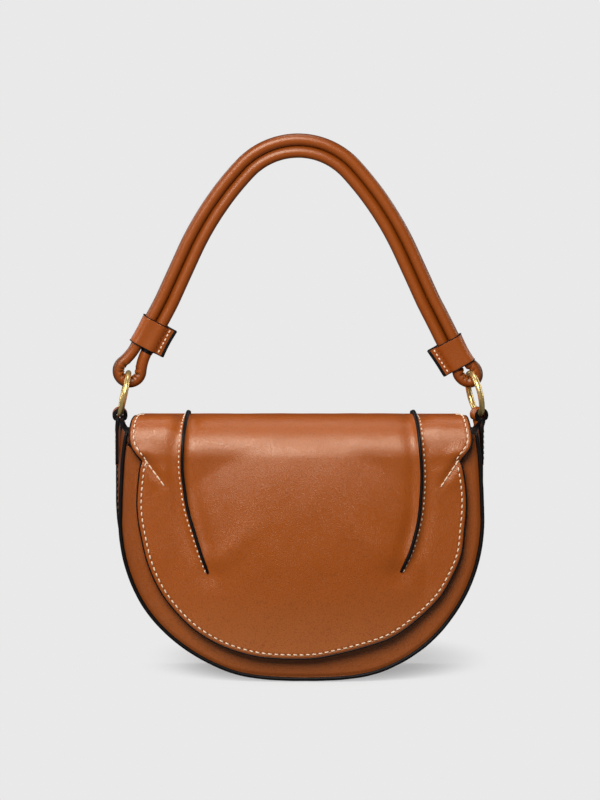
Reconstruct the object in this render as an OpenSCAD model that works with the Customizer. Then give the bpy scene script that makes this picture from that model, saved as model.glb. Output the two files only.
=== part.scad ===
// Structured saddle handbag with a dart-shaped flap and a doubled cord handle.
// The base stands on z = 0 under the middle of the bag, and the front faces -Y.

/* [Body] */
// Width across the two side seams
body_w = 229; // [200:1:250]
// Height of the upper ends of the side seams
body_h = 155; // [148:1:166]
// Distance between the outer faces of the front and back panels
body_d = 70; // [60:1:84]
// Height of the rounded lower part
round_h = 107; // [90:1:120]
// Fullness of the rounded lower part, where 2 is an ellipse
body_fullness = 2.15; // [2:0.05:2.5]
// Depth of the flat that the bag stands on
base_flat = 2; // [1:0.25:3]
// Drop of the front panel's mouth below the side seams' ends
mouth_dip = 8; // [6:0.5:14]
// How far the mouth's lower stretch ends inside the flap's wings
mouth_in = 0.5; // [0:0.1:0.8]

/* [Leather and lining] */
// Thickness of the front and back leather
panel_t = 2; // [1.4:0.1:2.6]
// Thickness of the gusset leather
gusset_t = 1.8; // [1.2:0.1:2.4]
// Thickness of the stiffening board
board_t = 1; // [0.6:0.1:1.4]
// Thickness of the lining
lining_t = 0.8; // [0.5:0.1:1.2]
// Width of the painted rim, seen from the front
rim_w = 2.4; // [1.6:0.1:3.2]
// How far the rim stands proud of the panel's face
rim_proud = 0.6; // [0.2:0.1:1]
// How far the gusset lies inside the rim's outline
gusset_step = 1.2; // [0.6:0.1:1.6]

/* [Pocket] */
// Width of the slip pocket
pocket_w = 120; // [80:1:140]
// Height of the slip pocket
pocket_h = 72; // [50:1:78]
// Depth of the slip pocket
pocket_d = 7; // [5:0.5:9]
// Drop from the panels' top edge to the pocket's mouth
pocket_drop = 25; // [17:1:33]
// Corner radius of the slip pocket
pocket_r = 12; // [6:1:20]
// Height of the binding on the pocket's edge
binding_h = 6; // [4:0.5:9]

/* [Flap] */
// Rise of the flap's top above the side seams' ends
top_rise = 9.4; // [8.5:0.1:12]
// Thickness of the flap leather
flap_t = 1.8; // [1.4:0.1:2.2]
// Thickness of the board inside the flap
flap_board_t = 0.6; // [0.4:0.1:0.8]
// Thickness of the flap's suede facing
facing_t = 0.8; // [0.6:0.1:1]
// Gap between the closed flap and the front panel
flap_gap = 3.3; // [3.1:0.1:5]
// Outer radius of the front fold
fold_r = 24; // [20:0.5:27]
// Slope of the flap's top towards the back
top_slope = 7; // [3:0.5:8]
// Outer radius of the back fold
back_fold_r = 9; // [7:0.5:9.5]
// Drop of the line where the flap bends at the back
hinge_dip = 6; // [5.5:0.5:8]
// Margin between the flap and the body on each side
flap_margin = 12.8; // [9:0.1:18]
// Height of the flap's lowest point
flap_low = 15.5; // [8:0.5:30]
// Drop from the flap's top to its widest hanging level
widest_down = 51.8; // [46:0.2:60]
// Fullness of the flap's lower edge, where 2 is an ellipse
flap_fullness = 2.2; // [2:0.05:2.5]
// Depth of the notch under each wing
notch_in = 3.2; // [1:0.1:5]
// Drop from the flap's top to the notch
notch_down = 25.5; // [22:0.5:30]
// How far each wing stands out on the fold
wing_out = 3.8; // [1:0.1:4]
// Drop from the flap's top to the wing's lower corner
wing_down = 14.4; // [12:0.2:17]
// Drop from the flap's top to the wing's upper corner
shoulder_down = 6.5; // [5:0.1:8]
// How far the top of the flap lies inside its widest level
top_in = 1.2; // [0.5:0.1:4]
// Width of the painted edge
edge_w = 1; // [0.6:0.1:1.6]

/* [Darts] */
// Distance from the flap's side edge to a dart, at their widest
dart_in = 27.7; // [22:0.1:40]
// Radius of the darts' curve
dart_r = 128.6; // [110:0.2:160]
// Drop from the flap's top to the darts' widest level
dart_mid_down = 35.4; // [28:0.2:44]
// Drop from the flap's top to the darts' lower ends
dart_end_down = 94.8; // [80:0.2:104]
// Thickness of a dart's painted fin
fin_w = 2.2; // [1.4:0.1:3]
// How far a fin stands out of the leather
fin_h = 2.2; // [1:0.1:2.6]
// Distance from the fold's start to a fin's upper end
fin_start = 5; // [4:0.5:8]

/* [Snap] */
// Height of the magnetic snap
snap_z = 48; // [40:1:64]
// Radius of the snap's two plates
snap_r = 9; // [7:0.5:11]
// Thickness of the socket
socket_t = 2.2; // [1.8:0.1:2.4]
// Radius of the socket's hole
socket_hole_r = 3.6; // [3.4:0.1:4]
// Thickness of the stud's plate
stud_t = 0.8; // [0.5:0.1:0.8]
// Radius of the stud's pin
stud_pin_r = 2.1; // [1.6:0.1:2.2]
// Height of the stud's pin
stud_pin_h = 1.1; // [0.8:0.1:1.2]
// Radius of the two washers
washer_r = 7; // [5:0.5:8]

/* [Rings and tabs] */
// Radius of a ring, to the middle of its wire
ring_r = 13; // [11:0.2:14.5]
// Radius of the ring's wire
wire_r = 1.6; // [1.2:0.1:1.8]
// Lean of the rings towards each other
ring_lean = 12; // [8:1:14]
// Running gap between a ring and the top of its tab's eye
eye_gap = 0.5; // [0.4:0.1:1]
// Half the width of a tab's eye
eye_r = 3.3; // [3.2:0.1:4]
// Height of the eye's middle above the side seams' ends
eye_h = 7.2; // [6.8:0.1:9]
// Thickness of a tab's strap
strap_t = 1.3; // [1:0.1:1.8]
// Width of a tab's strap
strap_w = 8; // [6:0.5:8.5]
// Length of a tab's two ends over the gusset
strap_l = 24; // [14:1:40]

/* [Handle] */
// Radius of the leather-covered cord
cord_r = 3.6; // [3:0.1:3.8]
// Thickness of the cord's leather cover
cover_t = 1.3; // [0.8:0.1:1.8]
// Distance between the two strands' middles
strand_pitch = 7.5; // [7.3:0.1:8.4]
// Height of the handle's top above the ring centres
handle_rise = 156; // [140:0.5:185]
// Turn of the handle's top bend
crown_turn = 47; // [44:1:50]
// Slope of the handle's legs
leg_turn = 66; // [64:1:69]
// Radius of the bend between the top and the legs
shoulder_r = 190; // [160:1:200]
// Radius of the bend above the keepers
heel_r = 150; // [100:1:170]
// Slope of the handle at the keepers
keeper_turn = 62; // [60:1:63]
// Length from the bend above the keeper to the end loop's middle
end_l = 43.4; // [43:0.2:46]
// Radius of the left and right end loops
loop_r = [7, 5.9];
// Angle at which the left and right end loops open
loop_open = [23, 33];

/* [Keepers] */
// Length of a keeper along the handle
keeper_l = 18; // [14:0.5:19]
// Thickness of a keeper's leather
keeper_t = 1.2; // [0.8:0.1:1.6]
// Width of the keeper's sewn end
keeper_tab = 5; // [3:0.5:8]
// Length of the painted cord end that shows below the left keeper
join_l = 2.4; // [1.5:0.1:3]
// Thickness of the paint on the cord end
join_t = 0.2; // [0.1:0.05:0.25]

/* [Hidden] */
$fn = 64;
// Overrun of every cut
cut = 1;
// Clearance between pieces that move past or lie on each other
seat_gap = 0.3;
// Steps in a quarter of a rounded outline
curve_steps = 10;
// Length, rise and inner gap of the collar that joins two bends of the cord
collar_l = 0.8;
collar_h = 0.05;
collar_gap = 0.1;
// Clearance between the rope core and its cover
core_gap = 0.1;

half_w = body_w / 2;
half_d = body_d / 2;
board_y = half_d - panel_t;
lining_y = board_y - board_t;
inside_y = lining_y - lining_t;
gusset_in = gusset_step + gusset_t;
gusset_board_in = gusset_in + board_t;
gusset_lining_in = gusset_board_in + lining_t;
curve_z = round_h - base_flat;
mouth_h = body_h - mouth_dip;

flap_stack = flap_t + flap_board_t + facing_t;
pocket_z = body_h - pocket_drop - pocket_h;
top_h = body_h + top_rise;
flap_y = -half_d - flap_gap - flap_stack;
fold_y = flap_y + fold_r;
fold_z = top_h - fold_r;
back_fold_y = half_d - back_fold_r;
back_fold_z = top_h - (back_fold_y - fold_y) * tan(top_slope) - back_fold_r / cos(top_slope);
hinge_h = body_h - hinge_dip;
flap_half = half_w - flap_margin;
widest_z = top_h - widest_down;
top_half = flap_half - top_in;
mouth_w = 2 * (flap_half + wing_out - mouth_in);
dart_w = 2 * (flap_half - dart_in);

gusset_stack = gusset_t + board_t + lining_t;
tab_x = half_w - gusset_step - gusset_stack / 2;
ring_x = tab_x - ring_r * sin(ring_lean);
// The ring's wire lies under the edges of the strap that it hangs in
wire_z = body_h + eye_h + eye_r - wire_r - eye_gap - ring_r + sqrt(pow(ring_r, 2) - pow(strap_w / 2, 2));
ring_z = wire_z + ring_r * cos(ring_lean);

half_pitch = strand_pitch / 2;
function flare_r(i) = (loop_r[i] * cos(loop_open[i]) - half_pitch) / (1 - cos(loop_open[i]));
function loop_reach(i) = (flare_r(i) + loop_r[i]) * sin(loop_open[i]);
function loop_z(i) = ring_z + ring_r * cos(ring_lean) + loop_r[i] - cord_r - wire_r - seat_gap;
function leg_l(i) = end_l + (loop_z(0) - loop_z(i)) / sin(keeper_turn);
function loop_x(i) = ring_x - ring_r * sin(ring_lean) - (leg_l(1) - leg_l(i)) * cos(keeper_turn);
function keeper_end(i) = loop_reach(i) + (i == 0 ? join_l + collar_l : 0);

// The crown's radius and the leg's length bring the handle's ends to the rings
span_x = loop_x(0) - shoulder_r * (sin(leg_turn) - sin(crown_turn))
    - heel_r * (sin(leg_turn) - sin(keeper_turn)) - end_l * cos(keeper_turn);
span_z = ring_z + handle_rise - loop_z(0) - shoulder_r * (cos(crown_turn) - cos(leg_turn))
    - heel_r * (cos(keeper_turn) - cos(leg_turn)) - end_l * sin(keeper_turn);
spread = sin(crown_turn) * sin(leg_turn) - cos(leg_turn) * (1 - cos(crown_turn));
crown_r = (span_x * sin(leg_turn) - span_z * cos(leg_turn)) / spread;
leg_run = (span_z * sin(crown_turn) - span_x * (1 - cos(crown_turn))) / spread;

leather = "#9c5327";
paint = "#1c100d";
suede = "#b98a5c";
fabric = "#c9b08a";
card = "#8c7a60";
brass = "#c9a13e";
steel = "#9a9ca0";
rope = "#d8cdb6";

// Right half of a rounded outline, from the middle of its base up to its widest level
function rounded(w, h, fullness, level) =
    [for (i = [0:curve_steps])
        let (a = 90 * i / curve_steps)
            [w * pow(sin(a), 2 / fullness), level - h * pow(cos(a), 2 / fullness)]];

function mirrored(points) = [for (i = [len(points) - 1:-1:0]) [-points[i][0], points[i][1]]];

module both_halves(points) {
    polygon(concat(points, mirrored(points)));
}

// Lays a flat XZ shape between two depths
module slab(y_front, y_back) {
    translate([0, y_back, 0])
        rotate([90, 0, 0])
            linear_extrude(y_back - y_front)
                children();
}

// Runs a YZ profile across the bag
module across(half) {
    translate([-half, 0, 0])
        rotate([90, 0, 90])
            linear_extrude(2 * half)
                children();
}

// The body's outline, moved in by a distance and cut flat at a level
module body_outline(inset, floor, top) {
    side = concat(rounded(half_w - inset, round_h - inset, body_fullness, curve_z),
                  [[half_w - inset, top]]);
    intersection() {
        both_halves(side);
        translate([-half_w - cut, floor])
            square([body_w + 2 * cut, top - floor]);
    }
}

// One layer of the band round the sides and base
module band(inset, thickness, floor) {
    difference() {
        body_outline(inset, floor, body_h);
        body_outline(inset + thickness, floor + thickness, body_h + cut);
    }
}

// The front panel's layers are lower in the middle, where the flap's fold passes over
module front_shape(inset) {
    difference() {
        body_outline(inset, inset, body_h);
        polygon([[-mouth_w / 2 - mouth_dip / 2, body_h + cut], [-mouth_w / 2, mouth_h],
                 [mouth_w / 2, mouth_h], [mouth_w / 2 + mouth_dip / 2, body_h + cut]]);
    }
}

// The back panel's layers stop at the line where the flap bends
module back_shape(inset) {
    difference() {
        body_outline(inset, inset, body_h);
        translate([-flap_half, hinge_h])
            square([2 * flap_half, hinge_dip + cut]);
    }
}

module at_snap(y) {
    translate([0, y, snap_z])
        rotate([90, 0, 0])
            children();
}

module front_panel() {
    color(leather)
        slab(-half_d, -board_y)
            front_shape(rim_w);
}

module front_board() {
    color(card)
        difference() {
            slab(-board_y, -lining_y)
                front_shape(rim_w);
            at_snap(-lining_y + cut)
                cylinder(r = washer_r + seat_gap, h = board_t + 2 * cut);
        }
}

module front_lining() {
    color(fabric)
        slab(-lining_y, -inside_y)
            front_shape(gusset_in);
}

module back_panel() {
    color(leather)
        slab(board_y, half_d)
            back_shape(rim_w);
}

module back_board() {
    color(card)
        slab(lining_y, board_y)
            back_shape(rim_w);
}

module back_lining() {
    color(fabric)
        slab(inside_y, lining_y)
            back_shape(gusset_in);
}

module gusset() {
    color(leather)
        slab(-lining_y, lining_y)
            band(gusset_step, gusset_t, 0);
}

module gusset_board() {
    color(card)
        slab(-inside_y, inside_y)
            band(gusset_in, board_t, gusset_t);
}

module gusset_lining() {
    color(fabric)
        slab(-inside_y, inside_y)
            band(gusset_board_in, lining_t, gusset_t + board_t);
}

module front_rim() {
    color(paint)
        slab(-half_d - rim_proud, -lining_y)
            band(0, rim_w, 0);
}

module back_rim() {
    color(paint)
        slab(lining_y, half_d + rim_proud)
            band(0, rim_w, 0);
}

// A rectangle with rounded lower corners, standing on z = 0
module pocket_shape(w, h, r) {
    translate([-w / 2, r])
        square([w, h - r]);
    translate([r - w / 2, 0])
        square([w - 2 * r, h]);
    for (side = [-1, 1])
        translate([side * (w / 2 - r), r])
            circle(r);
}

module slip_pocket() {
    color(fabric)
        translate([0, 0, pocket_z])
            difference() {
                slab(inside_y - pocket_d, inside_y)
                    pocket_shape(pocket_w, pocket_h, pocket_r);
                slab(inside_y - pocket_d + lining_t, inside_y + cut)
                    translate([0, lining_t])
                        pocket_shape(pocket_w - 2 * lining_t, pocket_h, pocket_r - lining_t);
            }
}

module pocket_binding() {
    front_y = inside_y - pocket_d;
    top_z = pocket_z + pocket_h;
    half = pocket_w / 2;
    color(leather)
        difference() {
            translate([-half, front_y - lining_t, top_z - binding_h])
                cube([pocket_w, 3 * lining_t, binding_h + lining_t]);
            translate([-half - cut, front_y, top_z - binding_h - cut])
                cube([pocket_w + 2 * cut, lining_t, binding_h + cut]);
            for (side = [-1, 1])
                translate([side * (half - lining_t / 2) - lining_t / 2, front_y, top_z - binding_h - cut])
                    cube([lining_t, 2 * lining_t + cut, binding_h + cut]);
        }
}

// A strap folded over the end of the gusset, with an eye for the ring
module tab_block(eye, leg, drop, half) {
    eye_z = body_h + eye_h;
    slab(-half, half)
        translate([0, eye_z])
            circle(eye);
    slab(-half, half)
        polygon([[-eye, eye_z], [eye, eye_z], [leg, body_h], [leg, body_h - drop],
                 [-leg, body_h - drop], [-leg, body_h]]);
}

module tab(side) {
    leg = gusset_stack / 2;
    color(leather)
        translate([side * tab_x, 0, 0])
            difference() {
                tab_block(eye_r + strap_t, leg + strap_t, strap_l, strap_w / 2);
                tab_block(eye_r, leg, strap_l + cut, strap_w / 2 + cut);
            }
}

module tab_left() {
    tab(-1);
}

module tab_right() {
    tab(1);
}

module snap_socket() {
    color(brass)
        at_snap(-half_d)
            difference() {
                cylinder(r = snap_r, h = socket_t);
                translate([0, 0, -cut])
                    cylinder(r = socket_hole_r, h = socket_t + 2 * cut);
            }
}

module socket_washer() {
    color(steel)
        at_snap(-lining_y)
            cylinder(r = washer_r, h = board_t);
}

// A quarter of a ring between two radii, turned to its place
module fold_arc(y, z, turn, outer, inner) {
    intersection() {
        translate([y, z])
            difference() {
                circle(outer);
                circle(inner);
            }
        translate([y, z])
            rotate([0, 0, turn])
                square([outer, outer]);
    }
}

// Points round the back fold, from the back strip to where the top's slope begins
function back_arc(radius) =
    [for (i = [0:curve_steps]) let (turn = (90 - top_slope) * i / curve_steps)
        [back_fold_y + radius * cos(turn), back_fold_z + radius * sin(turn)]];

// Front end of the top's slope, at a depth in the stack
function top_end(depth) =
    [fold_y + seat_gap / 2, back_fold_z + (back_fold_y - fold_y - seat_gap / 2) * tan(top_slope)
                            + (back_fold_r - depth) / cos(top_slope)];

// Profile of one layer of the flap's top and back fold, between two depths in the stack
module top_profile(depth, thickness) {
    inner = back_arc(back_fold_r - depth - thickness);
    polygon(concat([[half_d - depth - thickness, hinge_h + seat_gap], [half_d - depth, hinge_h + seat_gap]],
                   back_arc(back_fold_r - depth), [top_end(depth), top_end(depth + thickness)],
                   [for (i = [curve_steps:-1:0]) inner[i]]));
}

// Profile of one layer of the front fold and the hanging flap
module front_profile(depth, thickness) {
    intersection() {
        fold_arc(fold_y, fold_z, 90, fold_r - depth, fold_r - depth - thickness);
        translate([fold_y - fold_r - fin_h, fold_z])
            square([fold_r + fin_h - seat_gap / 2, fold_r + fin_h]);
    }
    translate([flap_y + depth, 0])
        square([thickness, fold_z]);
}

// The flap as the front shows it
module flap_outline(inset) {
    half = flap_half - inset;
    drop = widest_z - flap_low;
    side = concat(rounded(half, drop - inset, flap_fullness, widest_z),
                  [[half - notch_in, top_h - notch_down],
                   [half + wing_out, top_h - wing_down],
                   [half + wing_out, top_h - shoulder_down],
                   [top_half - inset, top_h + cut]]);
    both_halves(side);
}

module flap_layer(depth, thickness, inset) {
    intersection() {
        across(flap_half + wing_out)
            front_profile(depth, thickness);
        slab(flap_y - fin_h - cut, fold_y + cut)
            flap_outline(inset);
    }
}

// The curved strip that a dart's fin fills
module dart_strip(side, grow) {
    mid_x = dart_w / 2 - dart_r;
    mid_z = top_h - dart_mid_down;
    half = fin_w / 2 + grow;
    end_z = top_h - dart_end_down;
    end_x = mid_x + sqrt(pow(dart_r, 2) - pow(mid_z - end_z, 2));
    slab(flap_y - fin_h - cut, fold_y - fin_start) {
        intersection() {
            translate([side * mid_x, mid_z])
                difference() {
                    circle(dart_r + half, $fn = 4 * $fn);
                    circle(dart_r - half, $fn = 4 * $fn);
                }
            translate([side > 0 ? 0 : -flap_half, end_z])
                square([flap_half, dart_end_down + fin_h + cut]);
        }
        translate([side * end_x, end_z])
            circle(half);
    }
}

module dart_fin(side) {
    color(paint)
        intersection() {
            across(flap_half)
                front_profile(-fin_h, fin_h + flap_t);
            dart_strip(side, 0);
        }
}

module flap_top_leather() {
    color(leather)
        across(top_half)
            top_profile(0, flap_t);
}

module flap_top_board() {
    color(card)
        across(top_half)
            top_profile(flap_t, flap_board_t);
}

module flap_top_facing() {
    color(suede)
        across(top_half)
            top_profile(flap_t + flap_board_t, facing_t);
}

module flap_leather() {
    color(leather)
        difference() {
            flap_layer(0, flap_t, edge_w);
            for (side = [-1, 1])
                dart_strip(side, 0);
        }
}

module flap_board() {
    color(card)
        difference() {
            flap_layer(flap_t, flap_board_t, edge_w);
            at_snap(-half_d)
                cylinder(r = washer_r + seat_gap, h = flap_gap + flap_stack + cut);
        }
}

module flap_facing() {
    color(suede)
        flap_layer(flap_t + flap_board_t, facing_t, edge_w);
}

module flap_edge() {
    color(paint)
        difference() {
            flap_layer(0, flap_stack, 0);
            slab(flap_y - cut, fold_y + cut)
                flap_outline(edge_w);
        }
}

module dart_fin_left() {
    dart_fin(-1);
}

module dart_fin_right() {
    dart_fin(1);
}

module snap_stud() {
    face_y = flap_y + flap_stack;
    color(brass) {
        at_snap(face_y + stud_t)
            cylinder(r = snap_r, h = stud_t);
        at_snap(face_y + stud_t + stud_pin_h)
            cylinder(r = stud_pin_r, h = stud_pin_h);
    }
}

module stud_washer() {
    color(steel)
        at_snap(flap_y + flap_t + flap_board_t)
            cylinder(r = washer_r, h = flap_board_t);
}

// A short collar over the joint between two lengths of the cord
module collar(radius) {
    rotate([0, 90, 0])
        translate([0, 0, -collar_l / 2])
            cylinder(r = radius + collar_h, h = collar_l);
}

// A rod round the path's next bend, and then what follows it; a negative radius bends the other way
module bend(path_r, turn, radius) {
    way = path_r < 0 ? -1 : 1;
    gap = asin(collar_gap / abs(path_r));
    collar(radius);
    translate([0, -path_r, 0])
        rotate([0, 0, gap + (way > 0 ? 90 - turn : -90)])
            rotate_extrude(angle = turn - 2 * gap)
                translate([abs(path_r), 0])
                    circle(radius);
    translate([0, -path_r, 0])
        rotate([0, 0, -way * turn])
            translate([0, path_r, 0]) {
                collar(radius);
                children();
            }
}

module run(length, radius) {
    translate([collar_gap, 0, 0])
        rotate([0, 90, 0])
            cylinder(r = radius, h = length - 2 * collar_gap);
    translate([length, 0, 0])
        children();
}

// Half of one strand, from the top of the handle to its end loop
module half_strand(i, offset_y, radius) {
    translate([0, offset_y, 0])
        bend(crown_r + offset_y, crown_turn, radius)
            bend(shoulder_r + offset_y, leg_turn - crown_turn, radius)
                run(leg_run, radius)
                    bend(offset_y - heel_r, leg_turn - keeper_turn, radius)
                        run(leg_l(i) - loop_reach(i), radius);
}

module end_loop(i, radius) {
    open = loop_open[i];
    translate([-loop_reach(i), half_pitch, 0])
        bend(-flare_r(i), open, radius)
            bend(loop_r[i], 180 + 2 * open, radius)
                bend(-flare_r(i), open, radius);
}

// Stands the handle's drawing plane up, with the left side mirrored
module handle_side(i) {
    mirror([1 - i, 0, 0])
        rotate([90, 0, 0])
            children();
}

module at_loop(i) {
    handle_side(i)
        translate([loop_x(i), loop_z(i), 0])
            rotate([0, 0, -keeper_turn])
                children();
}

module handle_rod(radius) {
    for (i = [0, 1]) {
        handle_side(i)
            translate([0, ring_z + handle_rise, 0])
                for (way = [-1, 1])
                    half_strand(i, way * half_pitch, radius);
        at_loop(i)
            end_loop(i, radius);
    }
}

module handle_cover() {
    color(leather)
        difference() {
            handle_rod(cord_r);
            handle_rod(cord_r - cover_t);
        }
}

module handle_core() {
    color(rope)
        handle_rod(cord_r - cover_t - core_gap);
}

// The painted end of the cord, on the inner strand below the left keeper
module cord_join() {
    color(paint)
        at_loop(0)
            translate([-keeper_end(0), -half_pitch, 0])
                rotate([0, 90, 0])
                    difference() {
                        cylinder(r = cord_r + join_t, h = join_l);
                        translate([0, 0, -cut])
                            cylinder(r = cord_r, h = join_l + 2 * cut);
                    }
}

// The two strands' outline with a margin, and a sewn end on the inner side
module keeper_shape(margin) {
    for (way = [-1, 1])
        translate([way * half_pitch, 0])
            circle(cord_r + margin);
    translate([-half_pitch, -cord_r - margin])
        square([strand_pitch, 2 * (cord_r + margin)]);
}

module keeper(i) {
    reach = half_pitch + cord_r + seat_gap;
    color(leather)
        at_loop(i)
            translate([-keeper_end(i) - keeper_l, 0, 0])
                rotate([90, 0, 90])
                    linear_extrude(keeper_l)
                        difference() {
                            union() {
                                keeper_shape(seat_gap + keeper_t);
                                translate([-reach - keeper_t - keeper_tab, -keeper_t])
                                    square([keeper_t + keeper_tab + cord_r, 2 * keeper_t]);
                            }
                            keeper_shape(seat_gap);
                        }
}

module keeper_left() {
    keeper(0);
}

module keeper_right() {
    keeper(1);
}

module ring(side) {
    color(brass)
        translate([side * ring_x, 0, ring_z])
            rotate([0, -side * ring_lean, 0])
                rotate([0, 90, 0])
                    rotate_extrude()
                        translate([ring_r, 0])
                            circle(wire_r);
}

module ring_left() {
    ring(-1);
}

module ring_right() {
    ring(1);
}

front_panel();
front_board();
front_lining();
back_panel();
back_board();
back_lining();
gusset();
gusset_board();
gusset_lining();
front_rim();
back_rim();
slip_pocket();
pocket_binding();
tab_left();
tab_right();
snap_socket();
socket_washer();
flap_top_leather();
flap_top_board();
flap_top_facing();
flap_leather();
flap_board();
flap_facing();
flap_edge();
dart_fin_left();
dart_fin_right();
snap_stud();
stud_washer();
handle_cover();
handle_core();
cord_join();
keeper_left();
keeper_right();
ring_left();
ring_right();
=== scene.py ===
import math
import bpy
import numpy as np
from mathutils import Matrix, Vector


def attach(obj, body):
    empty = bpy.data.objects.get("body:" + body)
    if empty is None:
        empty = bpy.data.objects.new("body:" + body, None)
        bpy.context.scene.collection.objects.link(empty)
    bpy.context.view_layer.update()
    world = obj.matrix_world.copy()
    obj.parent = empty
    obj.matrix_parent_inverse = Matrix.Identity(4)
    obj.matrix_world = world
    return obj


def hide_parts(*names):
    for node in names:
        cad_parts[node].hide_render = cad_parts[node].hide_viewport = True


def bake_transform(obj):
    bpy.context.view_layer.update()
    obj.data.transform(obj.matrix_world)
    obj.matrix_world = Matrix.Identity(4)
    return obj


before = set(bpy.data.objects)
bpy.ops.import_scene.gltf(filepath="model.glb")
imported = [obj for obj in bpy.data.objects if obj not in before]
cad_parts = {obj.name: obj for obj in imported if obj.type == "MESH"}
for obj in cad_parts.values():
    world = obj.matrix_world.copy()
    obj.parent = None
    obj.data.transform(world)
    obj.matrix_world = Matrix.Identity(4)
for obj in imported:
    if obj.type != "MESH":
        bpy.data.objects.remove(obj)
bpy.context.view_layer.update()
print("frame loaded")

# Lengths are in millimetres until a mesh, the camera or a lamp is made
mm = 0.001


def deg(a):
    return math.radians(a)


def unit(v):
    v = np.asarray(v, float)
    return v / np.maximum(np.linalg.norm(v, axis=-1, keepdims=True), 1e-9)


def ease(x, lo, hi):  # 0 below lo, 1 above hi, smooth between
    t = np.clip((np.asarray(x, float) - lo) / (hi - lo), 0, 1)
    return t * t * (3 - 2 * t)


def hump(d, width):  # 1 where d is 0, gone beyond about twice the width
    return np.exp(-(d / width) ** 2)


def waves(a, b, seed=0.0):  # a slow, seeded unevenness between -1 and 1
    return (np.sin(a * 0.051 + seed) * np.cos(b * 0.043 - 1.7 * seed)
            + 0.6 * np.sin(a * 0.113 - b * 0.087 + 2.3 * seed)
            + 0.4 * np.cos(a * 0.19 + b * 0.16 + 0.7 * seed)) / 2


def runLength(points):
    return np.concatenate([[0], np.cumsum(np.linalg.norm(np.diff(points, axis=0), axis=1))])


def resample(points, step=None, count=None, closed=False):
    p = np.asarray(points, float)
    if closed:
        p = np.vstack([p, p[:1]])
    d = runLength(p)
    n = count or max(int(round(d[-1] / step)), 2)
    at = np.linspace(0, d[-1], n + 1)[:-1] if closed else np.linspace(0, d[-1], n)
    return np.stack([np.interp(at, d, p[:, k]) for k in range(p.shape[1])], 1)


def smoothCurve(points, count):  # Catmull-Rom through the points
    p = np.asarray(points, float)
    p = np.vstack([2 * p[0] - p[1], p, 2 * p[-1] - p[-2]])
    out = []
    for i in range(1, len(p) - 2):
        a, b, c, d = p[i - 1:i + 3]
        for t in np.linspace(0, 1, 12, endpoint=False):
            out.append(0.5 * (2 * b + (c - a) * t + (2 * a - 5 * b + 4 * c - d) * t * t
                              + (3 * b - a - 3 * c + d) * t ** 3))
    out.append(p[-2])
    return resample(out, count=count)


def distanceTo(points, line):  # from each 2D point to a polyline, with the place along it and its length
    p = np.asarray(points, float)
    shape = p.shape[:-1]
    p = p.reshape(-1, 2)
    a, ab = np.asarray(line)[:-1], np.diff(line, axis=0)
    best, where = np.full(len(p), 1e9), np.zeros(len(p))
    run = runLength(line)
    for i in range(len(a)):
        t = np.clip(((p - a[i]) @ ab[i]) / max(ab[i] @ ab[i], 1e-12), 0, 1)
        d = np.linalg.norm(p - a[i] - t[:, None] * ab[i], axis=1)
        near = d < best
        best[near] = d[near]
        where[near] = run[i] + t[near] * (run[i + 1] - run[i])
    return best.reshape(shape), where.reshape(shape), run[-1]


def facing(direction, count):  # the same direction at every point of a path
    return np.tile(np.asarray(direction, float), (count, 1))


def upright(line, y=0.0):  # a line of (x, z) at a depth
    return np.stack([line[:, 0], np.full(len(line), y), line[:, 1]], 1)


def makeObject(name, verts, faces, mats, faceMats=None, marks=None, smooth=None):
    mesh = bpy.data.meshes.new(name)
    mesh.from_pydata((np.asarray(verts, float).reshape(-1, 3) * mm).tolist(), [],
                     [tuple(int(i) for i in f) for f in faces])
    for m in mats:
        mesh.materials.append(m)
    mesh.polygons.foreach_set("use_smooth", smooth or [True] * len(mesh.polygons))
    if faceMats is not None:
        mesh.polygons.foreach_set("material_index", [int(i) for i in faceMats])
    for key, values in (marks or {}).items():
        layer = mesh.attributes.new(key, "FLOAT", "POINT")
        layer.data.foreach_set("value", np.asarray(values, float).ravel())
    mesh.update()
    obj = bpy.data.objects.new(name, mesh)
    bpy.context.scene.collection.objects.link(obj)
    return obj


def dress(obj, part, slot, *nodes):  # the body it rides on, a finish that is not used, and the nodes it stands for
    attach(obj, part)
    if nodes:
        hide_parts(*nodes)
    return obj


def gridFaces(rows, cols, closeRows=False, closeCols=False, start=0):
    out = []
    for r in range(rows if closeRows else rows - 1):
        row, above = start + r * cols, start + (r + 1) % rows * cols
        for c in range(cols if closeCols else cols - 1):
            c2 = (c + 1) % cols
            out.append((row + c, row + c2, above + c2, above + c))
    return out


def thickSheet(name, grid, thickness, mats, normals, marks=None):
    # grid is the outer face as rows x cols x 3, and the inner face lies against the normals
    g = np.asarray(grid, float)
    rows, cols = g.shape[:2]
    verts = np.concatenate([g.reshape(-1, 3), (g - normals * thickness).reshape(-1, 3)])
    count = rows * cols
    faces = gridFaces(rows, cols)
    inside = [tuple(i + count for i in f[::-1]) for f in faces]
    border = ([(0, c) for c in range(cols)] + [(r, cols - 1) for r in range(1, rows)]
              + [(rows - 1, c) for c in range(cols - 2, -1, -1)] + [(r, 0) for r in range(rows - 2, 0, -1)])
    ids = [r * cols + c for r, c in border]
    rim = [(a, a + count, b + count, b) for a, b in zip(ids, ids[1:] + ids[:1])]
    faceMats = [0] * len(faces) + [len(mats) - 1] * len(inside) + [0] * len(rim)
    doubled = {k: np.concatenate([np.ravel(v), np.ravel(v)]) for k, v in (marks or {}).items()}
    smooth = [True] * (len(faces) + len(inside)) + [False] * len(rim)
    obj = makeObject(name, verts, faces + inside + rim, mats, faceMats, doubled, smooth)
    obj.modifiers.new("weld", "WELD").merge_threshold = 0.00002
    return obj


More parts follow.
